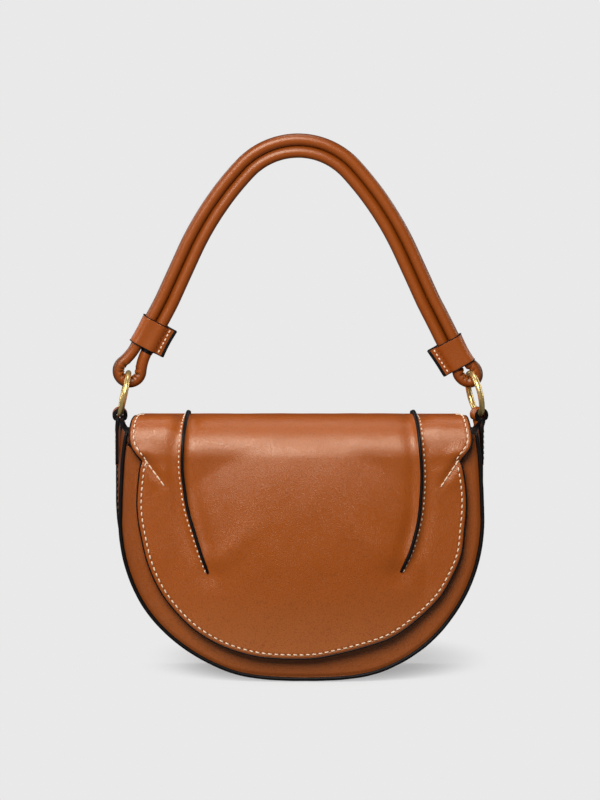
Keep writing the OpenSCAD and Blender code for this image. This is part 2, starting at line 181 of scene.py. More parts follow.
def sweep(name, path, normals, section, mats, closed=False, marks=None):
    # section is a closed list of (side, up) points, or one such list for each path point
    p, n = np.asarray(path, float), unit(normals)
    t = unit(np.roll(p, -1, 0) - np.roll(p, 1, 0)) if closed else unit(np.gradient(p, axis=0))
    n = unit(n - t * (n * t).sum(1, keepdims=True))
    side = np.cross(t, n)
    sec = np.asarray(section, float)
    if sec.ndim == 2:
        sec = np.repeat(sec[None], len(p), 0)
    verts = p[:, None] + side[:, None] * sec[..., :1] + n[:, None] * sec[..., 1:]
    rows, cols = len(p), sec.shape[1]
    faces = gridFaces(rows, cols, closed, True)
    if not closed:
        faces += [tuple(range(cols))[::-1], tuple((rows - 1) * cols + c for c in range(cols))]
    spread = {k: np.asarray(v) if np.ndim(v) > 1 else np.repeat(np.asarray(v, float), cols)
              for k, v in (marks or {}).items()}
    return makeObject(name, verts.reshape(-1, 3), faces, mats, None, spread)


def roundBar(width, height, corner, steps=3, shift=(0, 0)):  # a section with rounded corners
    out = []
    for cx, cy, a in ((1, 1, 0), (-1, 1, 90), (-1, -1, 180), (1, -1, 270)):
        for k in range(steps + 1):
            t = deg(a + 90 * k / steps)
            out.append((shift[0] + cx * (width / 2 - corner) + corner * math.cos(t),
                        shift[1] + cy * (height / 2 - corner) + corner * math.sin(t)))
    return out


def circleSection(radius, sides):
    a = [2 * math.pi * k / sides for k in range(sides)]
    return [(radius * math.cos(t), radius * math.sin(t)) for t in a]


def stitches(name, path, normals, mat, pitch=3.9, length=2.7, thread=0.38, sink=0.5, slant=0.0):
    # a row of separate threads that dip into the leather at both ends
    fine, skip, sides, loops = 0.25, 6, 6, 7
    p = resample(path, step=fine)
    src = resample(path, count=len(normals))
    idx = [int(np.argmin(((src - q) ** 2).sum(1))) for q in p[::skip]]
    at = np.arange(len(p))
    nn = unit(np.stack([np.interp(at, at[::skip], np.asarray(normals)[idx, k]) for k in range(3)], 1))
    total = fine * (len(p) - 1)
    count = max(int(total // pitch), 1)
    around = np.arange(sides) * 2 * math.pi / sides
    verts, faces = [], []
    for i in range(count):
        mid = (i + 0.5) * total / count
        base = len(verts)
        for u in (-1 + 2 * k / (loops - 1) for k in range(loops)):
            place = np.clip((mid + u * length / 2) / fine, 0, len(p) - 1.001)
            j = int(place)
            n = nn[j]
            b = np.cross(unit(p[min(j + 2, len(p) - 1)] - p[max(j - 2, 0)]), n)
            q = p[j] + (p[j + 1] - p[j]) * (place - j)
            q = q + b * u * slant + n * (thread * 0.75 - (thread + sink) * abs(u) ** 3.2)
            r = thread * (1 - 0.35 * abs(u) ** 3)
            verts += [q + r * (math.cos(a) * b * 1.15 + math.sin(a) * n) for a in around]
        faces += gridFaces(loops, sides, False, True, base)
        faces += [tuple(base + c for c in range(sides))[::-1],
                  tuple(base + (loops - 1) * sides + c for c in range(sides))]
    return makeObject(name, verts, faces, [mat])


class Shade:  # a node socket that takes part in sums
    def __init__(self, tree, socket=None):
        self.tree, self.socket = tree, socket

    def node(self, kind, settings=None, inputs=None, out=0):
        made = self.tree.nodes.new("ShaderNode" + kind)
        for key, value in (settings or {}).items():
            setattr(made, key, value)
        for key, value in (inputs or {}).items():
            if isinstance(value, Shade):
                self.tree.links.new(value.socket, made.inputs[key])
            else:
                made.inputs[key].default_value = value
        return Shade(self.tree, made.outputs[out])

    def noise(self, scale, detail=2.0, rough=0.5, twist=0.0):
        return self.node("TexNoise", {}, {"Vector": self, "Scale": scale, "Detail": detail,
                                          "Roughness": rough, "Distortion": twist})

    def bands(self, direction, scale, twist):
        return self.node("TexWave", {"wave_type": "BANDS", "bands_direction": direction},
                         {"Vector": self, "Scale": scale, "Distortion": twist, "Detail": 1.0})

    def mark(self, name):  # a value that the mesh carries at each point
        return self.node("Attribute", {"attribute_name": name}, out=2)

    def bumped(self, strength, distance):  # a normal from this height
        return self.node("Bump", {}, {"Strength": strength, "Distance": distance, "Height": self})

    def maths(self, operation, a, b, clamp=False):
        return self.node("Math", {"operation": operation, "use_clamp": clamp}, {0: a, 1: b})

    def __add__(self, other):
        return self.maths("ADD", self, other)

    __radd__ = __add__

    def __sub__(self, other):
        return self.maths("SUBTRACT", self, other)

    def __rsub__(self, other):
        return self.maths("SUBTRACT", other, self)

    def __mul__(self, other):
        return self.maths("MULTIPLY", self, other)

    __rmul__ = __mul__

    def clamped(self):
        return self.maths("ADD", self, 0.0, True)

    def between(self, lo, hi):  # 0 below lo, 1 above hi, smooth between
        return self.node("MapRange", {"interpolation_type": "SMOOTHSTEP"}, {0: self, 1: lo, 2: hi})

    def mix(self, colourA, colourB):  # self is the share of colourB
        return self.node("Mix", {"data_type": "RGBA"}, {0: self, 6: colourA, 7: colourB}, 2)

    def surface(self, colour, rough, normal, more):
        return self.node("BsdfPrincipled", {}, {"Base Color": colour, "Roughness": rough, "Normal": normal,
                                                **more})


def rgb(*levels):  # a screen colour of three levels up to 255
    parts = [c / 255 for c in levels]
    return tuple(c / 12.92 if c <= 0.04045 else ((c + 0.055) / 1.055) ** 2.4 for c in parts) + (1.0,)


def dim(colour, gain):
    return tuple(x * gain for x in colour[:3]) + (1.0,)


def newMaterial(name):  # with its node sums and the place on the object
    mat = bpy.data.materials.new(name)
    mat.use_nodes = True
    mat.node_tree.nodes.clear()
    sh = Shade(mat.node_tree)
    return mat, sh, sh.node("TexCoord", out=3)


def finishTree(tree, shader, kind="Material"):
    end = tree.nodes.new("ShaderNodeOutput" + kind)
    tree.links.new(shader.socket, end.inputs["Surface"])


leatherLook = {
    # The fourth colour below is painted bounce light from the floor, mixed in low down on the fronts
    "tan": rgb(170, 81, 11), "deep": rgb(161, 74, 8), "pale": rgb(176, 88, 16), "bounceLight": rgb(204, 124, 72),
    "sheen": (1.0, 0.88, 0.7, 1.0), "grainSize": 1300.0, "poreSize": 420.0, "grainDepth": 0.45,
    "roughness": 0.345, "shine": 0.85, "speck": 0.5, "tone": 1.0, "edgeShade": 0.6, "edgeTone": 0.5,
    "worn": {"roughness": 0.62, "shine": 0.08},
}


def leather(name, **changes):
    look = {**leatherLook, **changes}
    mat, sh, at = newMaterial(name)
    tone, size = look["tone"], look["grainSize"]
    tan, pale, bounceLight = (dim(look[key], tone) for key in ("tan", "pale", "bounceLight"))
    deep, speckled, pitted, dark = (dim(look["deep"], k * tone) for k in (1, 0.5, 0.45, look["edgeTone"]))
    sheen = {"Specular Tint": look["sheen"]}
    cloud = at.noise(14.0, 3.0, 0.55).between(0.3, 0.7)
    mottle = at.noise(75.0, 5.0, 0.65).between(0.32, 0.72)
    fine = at.noise(size, 4.0, 0.6)
    cells = sh.node("TexVoronoi", {"feature": "DISTANCE_TO_EDGE"}, {"Vector": at, "Scale": size * 0.9})
    pores = sh.node("TexVoronoi", {"feature": "F1"}, {"Vector": at, "Scale": look["poreSize"]})
    pit = 1 - pores.between(0.05, 0.22)
    speck = at.noise(size * 0.8, 2.0, 0.7)
    base = (cloud * 0.3 + mottle * 0.25).clamped().mix(tan, deep)
    base = ((1 - cloud) * mottle * 0.2).clamped().mix(base, pale)
    # Painted bounce light from the floor: lighter and paler low down on the fronts
    base = (sh.mark("bounceLightMark") * 0.42).clamped().mix(base, bounceLight)
    base = (speck.between(0.5, 0.72) * look["speck"]).clamped().mix(base, speckled)
    base = (pit * 0.12).clamped().mix(base, pitted)
    # Darker along edges and seams; on the handle cord this is painted shade at its sides, in the groove
    # between the strands and in its creases
    base = (sh.mark("edgeAndShadeMark") * look["edgeShade"]).clamped().mix(base, dark)
    normal = (cells.between(0.0, 0.25) * 0.6 + fine * 0.5 - pit * 0.5).bumped(look["grainDepth"], 0.00018)
    rough = (mottle * 0.06 + pit * 0.1 + fine * 0.1 + (look["roughness"] - 0.1)).clamped()
    shader = sh.surface(base, rough, normal, {"Specular IOR Level": look["shine"], **sheen})
    worn = look["worn"]
    if worn:  # where dullMark is 1 the surface is matt from handling
        matt = sh.surface(base, worn["roughness"], normal, {"Specular IOR Level": worn["shine"], **sheen})
        shader = sh.node("MixShader", {}, {0: sh.mark("dullMark"), 1: shader, 2: matt})
    finishTree(mat.node_tree, shader)
    return mat


edgeLook = {"colour": rgb(9, 5, 5), "worn": rgb(40, 18, 10), "roughness": 0.5, "shine": 0.22}


def edgePaint(name, look):
    mat, sh, at = newMaterial(name)
    lumps = at.noise(260.0, 3.0)
    rub = at.noise(60.0, 5.0, 0.7).between(0.6, 0.82)
    rough = (lumps * 0.25 + (look["roughness"] - 0.1)).clamped()
    finishTree(mat.node_tree, sh.surface((rub * 0.25).mix(look["colour"], look["worn"]), rough,
                                         lumps.bumped(0.25, 0.0004), {"Specular IOR Level": look["shine"]}))
    return mat


threadLook = {"colour": rgb(255, 230, 198), "shade": rgb(244, 208, 170), "roughness": 0.6}


def threadMaterial(name, **changes):
    look = {**threadLook, **changes}
    mat, sh, at = newMaterial(name)
    ply = at.bands("DIAGONAL", 420.0, 1.5)
    fuzz = at.noise(1500.0)
    colour = (ply * 0.5 + fuzz * 0.3).clamped().mix(look["colour"], look["shade"])
    finishTree(mat.node_tree, sh.surface(colour, look["roughness"], (ply + fuzz * 0.4).bumped(0.5, 0.0002),
                                         {"Sheen Weight": 0.2}))
    return mat


brassLook = {"colour": rgb(252, 218, 144), "dull": rgb(214, 172, 92), "roughness": 0.27, "metal": 0.75}


def brassMaterial(name, look):
    mat, sh, at = newMaterial(name)
    haze = at.noise(90.0, 6.0, 0.7)
    scratch = at.noise(1400.0, twist=1.0)
    rough = (haze * 0.16 + scratch * 0.05 + (look["roughness"] - 0.1)).clamped()
    finishTree(mat.node_tree, sh.surface(haze.between(0.4, 0.75).mix(look["colour"], look["dull"]), rough,
                                         scratch.bumped(0.06, 0.0002), {"Metallic": look["metal"]}))
    return mat


suedeLook = {"colour": rgb(170, 122, 78), "shade": rgb(128, 84, 48), "roughness": 0.78}


def suedeMaterial(name, look):
    mat, sh, at = newMaterial(name)
    nap = at.noise(1200.0, 5.0, 0.8)
    brushed = at.noise(30.0, 4.0, twist=0.6)
    colour = (brushed.between(0.35, 0.7) * 0.6 + nap * 0.3).clamped().mix(look["colour"], look["shade"])
    rough = (nap * 0.15 + look["roughness"]).clamped()
    sheen = {"Sheen Weight": 0.35, "Sheen Roughness": 0.5}
    finishTree(mat.node_tree, sh.surface(colour, rough, nap.bumped(0.6, 0.0003), sheen))
    return mat


clothLook = {"colour": rgb(196, 168, 126), "shade": rgb(150, 120, 82), "threads": 620.0, "roughness": 0.75}


def clothMaterial(name, look):
    mat, sh, at = newMaterial(name)
    x, z, y = (at.bands(way, look["threads"], 0.6) for way in "XZY")
    weave = x * z + y * 0.5
    colour = (weave * 0.35 + at.noise(45.0, 4.0) * 0.4).clamped().mix(look["colour"], look["shade"])
    finishTree(mat.node_tree, sh.surface(colour, (weave * 0.1 + look["roughness"]).clamped(),
                                         weave.bumped(0.5, 0.0003), {"Sheen Weight": 0.25}))
    return mat


tanLeather = leather("tanLeather")
bodyLeather = leather("bodyLeather", tone=0.86, worn=None)
# The cord's sides and creases darken strongly with painted shade
cordLeather = leather("cordLeather", tan=rgb(160, 76, 20), grainDepth=0.3, shine=0.7, speck=0.15,
                      edgeShade=0.95, edgeTone=0.2, worn=None)
blackEdge = edgePaint("blackEdge", edgeLook)
creamThread = threadMaterial("creamThread")
tanThread = threadMaterial("tanThread", colour=rgb(146, 92, 54), shade=rgb(108, 60, 32))
ringBrass = brassMaterial("ringBrass", brassLook)
flapSuede = suedeMaterial("flapSuede", suedeLook)
cottonLining = clothMaterial("cottonLining", clothLook)
print("materials made")


# Camera with a long lens, 8 degrees above the table

view = {"tilt": 8.0, "distance": 6000.0, "scale": 0.6208, "across": 0.3, "up": 171.4, "rows": 800,
        "groundRow": 673.4, "sensor": 36.0}


def makeCamera():
    data = bpy.data.cameras.new("camera")
    cam = bpy.data.objects.new("camera", data)
    bpy.context.scene.collection.objects.link(cam)
    data.sensor_fit = "AUTO"
    data.sensor_width = view["sensor"]
    data.lens = view["sensor"] * view["distance"] / (view["rows"] * view["scale"])
    data.clip_end = 50
    aim = np.array([view["across"], 0, view["up"]])
    back = np.array([0, -math.cos(deg(view["tilt"])), math.sin(deg(view["tilt"]))])
    cam.location = Vector((aim + back * view["distance"]) * mm)
    cam.rotation_euler = (deg(90 - view["tilt"]), 0, 0)
    bpy.context.scene.camera = cam


makeCamera()

# Body shell. A side is -1 for the front or the left and 1 for the back or the right

body = {
    "halfWidth": 114.5, "height": 155.0, "round": 107.0, "level": 105.0, "fullness": 2.15, "mouth": 105.0,
    "dip": 8.0, "backDip": 6.0, "frontBulge": 1.0, "backBulge": 2.6, "liningBulge": 0.3, "sideSag": -1.6,
    "nipLevels": [0, 40, 100, 120, 140, 150, 157], "nips": [0.3, 0.8, 1.4, 2.1, 3.3, 4.6, 6.0],
    "frontShift": 1.1, "baseShift": 2.4, "standing": 1.3,
}
panel = {"inset": 2.2, "depth": 35.0, "thick": 3.0, "facing": 1, "lower": 0.0}
lining = {"inset": 4.3, "depth": 31.4, "thick": 0.6, "facing": -1, "lower": 0.6}
gusset = {"inset": 1.2, "depth": 33.5, "thick": 2.8}
bandLining = {"inset": 4.2, "depth": 31.6, "thick": 0.7}
rim = {"inset": 0.9, "depth": 34.0, "width": 2.3, "height": 4.0, "corner": 0.95, "up": 0.35}


def nipIn(z):  # how far the front's side seam lies inside the back's
    return np.interp(np.asarray(z, float), body["nipLevels"], body["nips"])


def sideX(z, inset, nip):  # half-width of the body's outline at a height
    half, drop = body["halfWidth"] - inset, body["round"] - inset
    low = np.clip((body["level"] - z) / drop, 0, 1)
    x = half * np.power(np.maximum(1 - np.power(low, body["fullness"]), 0), 1 / body["fullness"])
    return np.maximum(np.where(z >= body["level"], half, x) - nip * nipIn(z), 0)


def softFloor(z, round=7.0):  # like max(z, 0), with the corner rounded off
    return np.where(z > round, z, np.where(z < -round, 0, (z + round) ** 2 / (4 * round)))


def lowest(inset):  # the outer pieces reach down to the ground
    return inset if inset > body["standing"] else 0.0


def shiftAt(z, nip):  # the front's outline lies a little to the right, most at the base
    return nip * (body["frontShift"] + body["baseShift"] * (1 - ease(z, 0, 50)))


def bodyPath(inset, nip=0.0, top=body["height"], step=2.0):  # left top, round the base, right top
    a = np.radians(np.linspace(0, 90, 160))
    half, drop = body["halfWidth"] - inset, body["round"] - inset
    x = half * np.power(np.sin(a), 2 / body["fullness"])
    z = body["level"] - drop * np.power(np.cos(a), 2 / body["fullness"])
    wall = np.stack([np.full(40, half), np.linspace(body["level"], top, 41)[1:]], 1)
    right = np.vstack([np.stack([x, z], 1), wall])
    right[:, 0] = np.maximum(right[:, 0] - nip * nipIn(right[:, 1]), 0)
    right[:, 1] = lowest(inset) + softFloor(right[:, 1] - lowest(inset))
    path = np.vstack([right[::-1] * [-1, 1], right[1:]])
    path[:, 0] += shiftAt(path[:, 1], nip)
    return resample(path, step=step)


def mouthLine(x, side):  # top of a panel, in front lower in the middle than at the ends
    if side > 0:
        return np.full(x.shape, body["height"] - body["backDip"])
    return body["height"] - body["dip"] * (1 - ease(np.abs(x), body["mouth"] - 1, body["mouth"] + 5))


def panelSheet(name, look, side, bulge, mats, slot, *nodes):  # rows from the base up, columns across
    rows, cols, spread = 90, 110, math.pi / 2 * 0.92
    inset, way, nip = look["inset"], side * look["facing"], float(side < 0)
    zs = inset + (1 - np.cos(np.linspace(0, 1, rows) * math.pi / 2)) * (body["height"] - inset)
    u = np.sin(np.linspace(-1, 1, cols) * spread) / math.sin(spread)
    x = u[None] * sideX(zs, inset, nip)[:, None] + shiftAt(zs, nip)[:, None]
    z = np.repeat(zs[:, None], cols, 1)
    top = mouthLine(x, side) - look["lower"]
    z = np.where(z > top - 0.01, top, z)
    d, _, _ = distanceTo(np.stack([x, z], -1), bodyPath(inset, nip))
    belly = (1 - (x / 118) ** 2) * np.clip(z / 70, 0, 1) * np.clip((190 - z) / 110, 0, 1)
    lift = bulge * belly * ease(d, 0, 22) + 0.22 * waves(x, z, 1.3 + way) - 0.5 * (1 - ease(d, 0, 2.2))
    grid = np.stack([x, side * look["depth"] + way * lift, z], 2)
    normals = np.zeros_like(grid)
    normals[..., 1] = way
    if way > 0:
        grid, d = grid[:, ::-1], d[:, ::-1]
    # The second mark is painted bounce light from the floor, lighter towards the base
    marks = {"edgeAndShadeMark": np.exp(-d / 2.2), "bounceLightMark": 0.5 * (1 - ease(grid[..., 2], 15, 72))}
    dress(thickSheet(name, grid, look["thick"], mats, normals, marks), "bag", slot, *nodes)


shell = [bodyLeather, cottonLining]
panelSheet("frontPanel", panel, -1, body["frontBulge"], shell, "tan_leather", "front_panel", "front_board")
panelSheet("backPanel", panel, 1, body["backBulge"], shell, "tan_leather", "back_panel", "back_board")


def gussetBand(name, look, mats, slot, *nodes):  # rows along the seam, columns from the front to the back
    front = bodyPath(look["inset"], 1.0)
    back = resample(bodyPath(look["inset"]), count=len(front))
    v = np.linspace(0, 1, 31)
    share = ((1 - v) ** 1.4)[None, :, None]
    y = (-look["depth"] + 2 * look["depth"] * v)[None]
    xz = front[:, None] * share + back[:, None] * (1 - share)
    out = unit(np.stack([np.gradient(xz[..., 1], axis=0), -np.gradient(xz[..., 0], axis=0)], 2))
    z = xz[..., 1]
    sag = body["sideSag"] * ease(z, 25, 70) * (1 - ease(z, 118, 138)) * (1 - (2 * v[None] - 1) ** 2) ** 1.2
    sag = sag + 0.35 * waves(z * 2.2, y * 3.0, 4.2) * ease(z, 10, 50)
    xz = xz + out * sag[..., None]
    grid = np.stack([xz[..., 0], y + np.zeros_like(z), np.maximum(xz[..., 1], lowest(look["inset"]))], 2)
    normals = np.stack([out[..., 0], np.zeros_like(z), out[..., 1]], 2)
    mark = np.exp(-np.minimum(v, 1 - v)[None] * 2 * look["depth"] / 2.5) + np.zeros_like(z)
    dress(thickSheet(name, grid, look["thick"], mats, normals, {"edgeAndShadeMark": mark}), "bag", slot, *nodes)


gussetBand("gussetSkin", gusset, [bodyLeather], "tan_leather", "gusset", "gusset_board")
gussetBand("liningBand", bandLining, [cottonLining], "cotton_lining", "gusset_lining")
panelSheet("frontLining", lining, -1, body["liningBulge"], [cottonLining], "cotton_lining", "front_lining")
panelSheet("backLining", lining, 1, body["liningBulge"], [cottonLining], "cotton_lining", "back_lining")


def rimBead(name, side, node):
    p = upright(bodyPath(rim["inset"], float(side < 0), body["height"] + 0.3, 1.5), side * rim["depth"])
    p[:, 2] += rim["up"]
    k = np.arange(len(p))
    wobble = 1 + 0.05 * waves(k * 9.0, k * 4.0, 2.0)
    sec = np.asarray(roundBar(rim["width"], rim["height"], rim["corner"], 4))[None] * wobble[:, None, None]
    dress(sweep(name, p, facing((0, side, 0), len(p)), sec, [blackEdge]), "bag", "edge_paint", node)


rimBead("frontRim", -1, "front_rim")
rimBead("backRim", 1, "back_rim")


def backSeam(inset=5.4):  # along the back panel, just inside the painted rim
    path = bodyPath(inset, 0.0, body["height"] - 1.5, 1.0)
    path[:, 1] = np.maximum(path[:, 1], inset)
    ahead = facing((0, 1, 0), len(path))
    dress(stitches("backSeamThread", upright(path, panel["depth"]), ahead, creamThread), "bag", "rope_core")


def gussetSeam(name, side, y=29.3):  # on the band, beside the rim
    path = bodyPath(gusset["inset"], float(side < 0), body["height"] - 2, 1.0)
    tangent = unit(np.gradient(path, axis=0))
    out = np.stack([tangent[:, 1], np.zeros(len(path)), -tangent[:, 0]], 1)
    for end, sign in (("L", -1), ("R", 1)):
        part = (path[:, 1] > 1.0) & (path[:, 0] * sign > 0)
        row = stitches(name + end, upright(path, side * y)[part], out[part], tanThread, thread=0.3)
        dress(row, "bag", "rope_core")


backSeam()
gussetSeam("gussetFrontThread", -1)
gussetSeam("gussetBackThread", 1)
print("body made")

# Flap, drawn flat as (x, s) where s runs from the tail at the back over the top and down the front

flap = {
    "tail": 128.0, "tailY": 36.9, "backR": 10.9, "slope": 7.0, "crest": 164.4, "foldR": 24.0,
    "foldY": -17.5, "faceY": -41.5, "low": 15.4, "cutY": 8.0, "square": 2.9, "facingStart": 30.0,
    "edgeRound": 0.55, "groove": 0.22, "threadInset": 2.6,
}
# The middle of the front stands out most at the level z
puff = {"out": 6.6, "z": 82.0, "above": 68.0, "below": 112.0, "droop": 22.0, "power": 2.6}
# Leather beside a dart, round its end and along the soft ridge that runs up from there
dart = {"ridge": 1.0, "ridgeWidth": 1.5, "valley": 0.9, "valleyAt": 5.0, "valleyWidth": 4.0, "dimple": 1.0,
        "dimpleWidth": 8.0, "fan": 0.9, "fanWidth": 7.0, "fanReach": [40.0, 42.0]}
tuck = {"depth": 0.9, "width": 2.0, "roll": 0.5, "rollAt": 5.0, "rollWidth": 4.0}
fin = {"width": 2.0, "height": 2.2, "foot": 1.6, "threadOff": 2.1}
flapRow = {"length": 3.0, "thread": 0.4, "slant": 0.12}
dartRow = {"pitch": 3.3, "length": 2.0}
tuckRow = {"pitch": 3.4, "length": 3.9, "thread": 0.42, "sink": 0.2}
skin = {"thick": 2.2, "under": 0.0, "inset": 0.0, "mat": tanLeather, "slot": "tan_leather"}
backing = {"thick": 0.9, "under": 2.25, "inset": 0.6, "mat": flapSuede, "slot": "suede_facing"}


def flapProfile():  # (y, z) from the tail up the back, down the top's slope and over the fold
    slope, backR, foldR = deg(flap["slope"]), flap["backR"], flap["foldR"]
    cy, foldZ = flap["tailY"] - backR, flap["crest"] - foldR
    cz = foldZ + foldR / math.cos(slope) - (cy - flap["foldY"]) * math.tan(slope) - backR / math.cos(slope)
    pts = [(flap["tailY"], z) for z in np.linspace(flap["tail"], cz, 40)]
    for a in np.linspace(0, math.pi / 2 - slope, 40)[1:]:
        pts.append((cy + backR * math.cos(a), cz + backR * math.sin(a)))
    for a in np.linspace(math.pi / 2 - slope, math.pi, 70):
        pts.append((flap["foldY"] + foldR * math.cos(a), foldZ + foldR * math.sin(a)))
    pts += [(flap["faceY"], z) for z in np.linspace(foldZ, flap["low"] - 4, 120)[1:]]
    return resample(pts, step=0.5)


profileLine = flapProfile()
profileS = runLength(profileLine)
profileT = unit(np.gradient(profileLine, axis=0))
levelOf = profileLine[:, 1] * math.cos(deg(view["tilt"])) + profileLine[:, 0] * math.sin(deg(view["tilt"]))
crestIndex = int(np.argmax(np.where(profileLine[:, 0] < flap["foldY"] + 4.5, levelOf, 0)))
crestS = profileS[crestIndex]
cutS = float(np.interp(-flap["cutY"], -profileLine[60:crestIndex, 0], profileS[60:crestIndex]))
onTop = profileLine[:, 1] > 160
foldS = float(profileS[onTop][np.argmin(np.abs(profileLine[onTop, 0] - flap["foldY"]))])


def sOfPixel(py):  # place on the flap's front that the photograph's row shows
    level = (view["groundRow"] - py) * view["scale"]
    return float(np.interp(-level, -levelOf[crestIndex:], profileS[crestIndex:]))


# Points of the flap's outline and its seams: millimetres across, and the row of the photograph
leftEdge = [(-99.0, 413.2), (-100.4, 414.6), (-102.4, 418.4), (-103.9, 424), (-104.9, 433), (-104.7, 441),
            (-103.6, 447), (-101.0, 453.5), (-98.2, 459.5), (-97.3, 461.8), (-98.0, 465), (-98.7, 470),
            (-99.8, 486), (-100.4, 502), (-99.8, 518), (-98.0, 535), (-94.0, 562), (-86.6, 589),
            (-76.0, 612), (-63.0, 631), (-46.2, 646), (-27.6, 655), (-12.0, 657.6), (0, 658.0)]
rightEdge = [(100.6, 413.2), (102.6, 416), (104.4, 423), (105.9, 433), (106.3, 441), (105.2, 447.5),
             (102.6, 453.5), (99.9, 459.5), (99.3, 461.8), (100.0, 465), (100.9, 470), (102.4, 486),
             (103.0, 500), (102.8, 515), (102.0, 527), (100.0, 554), (94.0, 577), (86.0, 598),
             (71.7, 620), (56.2, 637), (35.7, 648), (14.6, 656), (6, 657.7), (0, 658.0)]
dartLeft = [(-68.0, 409.6), (-70.1, 421), (-71.9, 440), (-72.5, 466), (-71.3, 486), (-69.0, 509),
            (-64.3, 535), (-60.6, 554), (-56.5, 572)]
dartRight = [(69.2, 409.6), (72.1, 421), (74.2, 444), (75.4, 470), (75.1, 493), (73.4, 520), (69.2, 547),
             (65.9, 560), (62.6, 571)]
tuckLeft = [(-95.6, 459.5), (-83.4, 485.8)]
tuckRight = [(98.3, 460.0), (87.1, 487.0)]


def onFlap(points):
    return [(x, sOfPixel(py) if py > 413 else crestS - 4.5) for x, py in points]


def edgeCurve(points, side):
    top = [(99.0, 1.5), (100.2, 12.0), (100.3, crestS * 0.5), (100.2, crestS - 9)]
    curve = smoothCurve([(side * x, s) for x, s in top] + onFlap(points), 700)
    curve = resample(np.vstack([[(side * 97.0, 0.0)], curve]), count=900)
    curve[:, 0] = side * np.maximum(side * curve[:, 0], 0)
    return curve


leftCurve, rightCurve = edgeCurve(leftEdge, -1), edgeCurve(rightEdge, 1)
openOutline = np.vstack([leftCurve, rightCurve[::-1][1:]])
flapOutline = np.vstack([openOutline, leftCurve[:1]])
dartLines = [smoothCurve(onFlap(points), 200) for points in (dartLeft, dartRight)]
tuckLines = [np.array(onFlap(points)) for points in (tuckLeft, tuckRight)]
endS = float(leftCurve[:, 1].max())


def flapLift(x, s):  # how far the soft leather stands out of its plain profile, and the way to its edge
    flat = np.stack([x, s], -1)
    z = np.interp(s, profileS, profileLine[:, 1])
    front = ease(s, foldS, foldS + 25)
    middle = np.clip(1 - np.abs(x / 78) ** 3, 0, 1) ** 1.2
    rise = np.clip((z + puff["droop"] * (x / 60) ** 2 - puff["z"]) / puff["above"], 0, 1.4)
    above = 1 - rise ** puff["power"]
    above = (above + np.sqrt(above ** 2 + 0.012)) / 2
    lift = puff["out"] * front * middle * above * ease(z, puff["z"] - puff["below"], puff["z"])
    turned = np.clip((s - crestS) / (flap["foldR"] * math.pi / 2), 0, 1)
    lift += flap["square"] * ease(np.abs(x), 70, 79) * np.sin(turned * math.pi) ** 2
    lift += 0.5 * (1 - front) * np.clip(1 - (x / 95) ** 4, 0, 1) * ease(s, 40, 60)
    lift -= 1.5 * front * ease(np.abs(x), 74, 104) * ease(z, 40, 120) * (1 - ease(z, 136, 146))
    lift -= 1.1 * front * (1 - ease(z, 15, 60))
    for line, short in zip(dartLines, tuckLines):
        tip = line[-1]
        d, where, total = distanceTo(flat, line)
        along = ease(where, 2, 10) * (1 - ease(where, total - 22, total - 1))
        valley = dart["valley"] * hump(d - dart["valleyAt"], dart["valleyWidth"])
        lift += along * (dart["ridge"] * hump(d, dart["ridgeWidth"]) - valley)
        lift -= dart["dimple"] * hump(np.linalg.norm(flat - tip, axis=-1), dart["dimpleWidth"])
        fan = resample([tip, tip - np.array([np.sign(tip[0]), 1]) * dart["fanReach"]], count=30)
        d, where, total = distanceTo(flat, fan)
        along = ease(where, 0, 14) * (1 - ease(where, 18, total - 2))
        lift += along * dart["fan"] * hump(d, dart["fanWidth"])
        d, where, total = distanceTo(flat, short)
        lift -= tuck["depth"] * hump(d, tuck["width"]) * (1 - 0.7 * ease(where, total * 0.4, total))
        roll = hump(d - tuck["rollAt"], tuck["rollWidth"])
        lift += tuck["roll"] * roll * (1 - ease(where, total * 0.6, total))
    lift += 0.2 * waves(x, s, 0.4) + 0.05 * waves(x * 3.1, s * 2.7, 2.4)
    d, _, _ = distanceTo(flat, flapOutline)
    lift -= flap["edgeRound"] * (1 - ease(d, 0, 1.6)) + flap["groove"] * hump(d - flap["threadInset"], 0.7)
    return lift, d


def flapPlace(x, s, lift):  # points in space with their normals
    y, z = (np.interp(s, profileS, profileLine[:, k]) for k in (0, 1))
    ny, nz = np.interp(s, profileS, profileT[:, 1]), np.interp(s, profileS, -profileT[:, 0])
    n = unit(np.stack([np.zeros_like(s), ny, nz], -1))
    return np.stack([x, y, z], -1) + n * lift[..., None], n


def flapRows(s0, s1, count, inset):
    # rows of equal steps along the edge, so that the round end stays well shaped
    left, right = (np.maximum.accumulate(curve[:, 1]) for curve in (leftCurve, rightCurve))
    keep = (leftCurve[:, 1] >= s0 - 1e-6) & (leftCurve[:, 1] <= s1 + 1e-6)
    part = np.maximum.accumulate(leftCurve[keep, 1])
    s = np.interp(np.linspace(0, 1, count), np.linspace(0, 1, len(part)), part)
    s[0], s[-1] = s0, min(s1, endS)
    tiny = np.arange(len(left)) * 1e-7  # keeps the curves' places rising
    xl = np.interp(s, left + tiny, leftCurve[:, 0]) + inset
    xr = np.interp(s, right + tiny, rightCurve[:, 0]) - inset
    met = xl > xr
    xl[met] = xr[met] = (xl[met] + xr[met]) / 2
    return s, xl, xr


def overFold(obj, isBack, slot, *nodes):  # leather at the back hinge or the front fold: hides the nodes it stands for and bakes its placement
    if nodes:
        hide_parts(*nodes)
    if isBack:
        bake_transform(obj)
    else:
        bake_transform(obj)


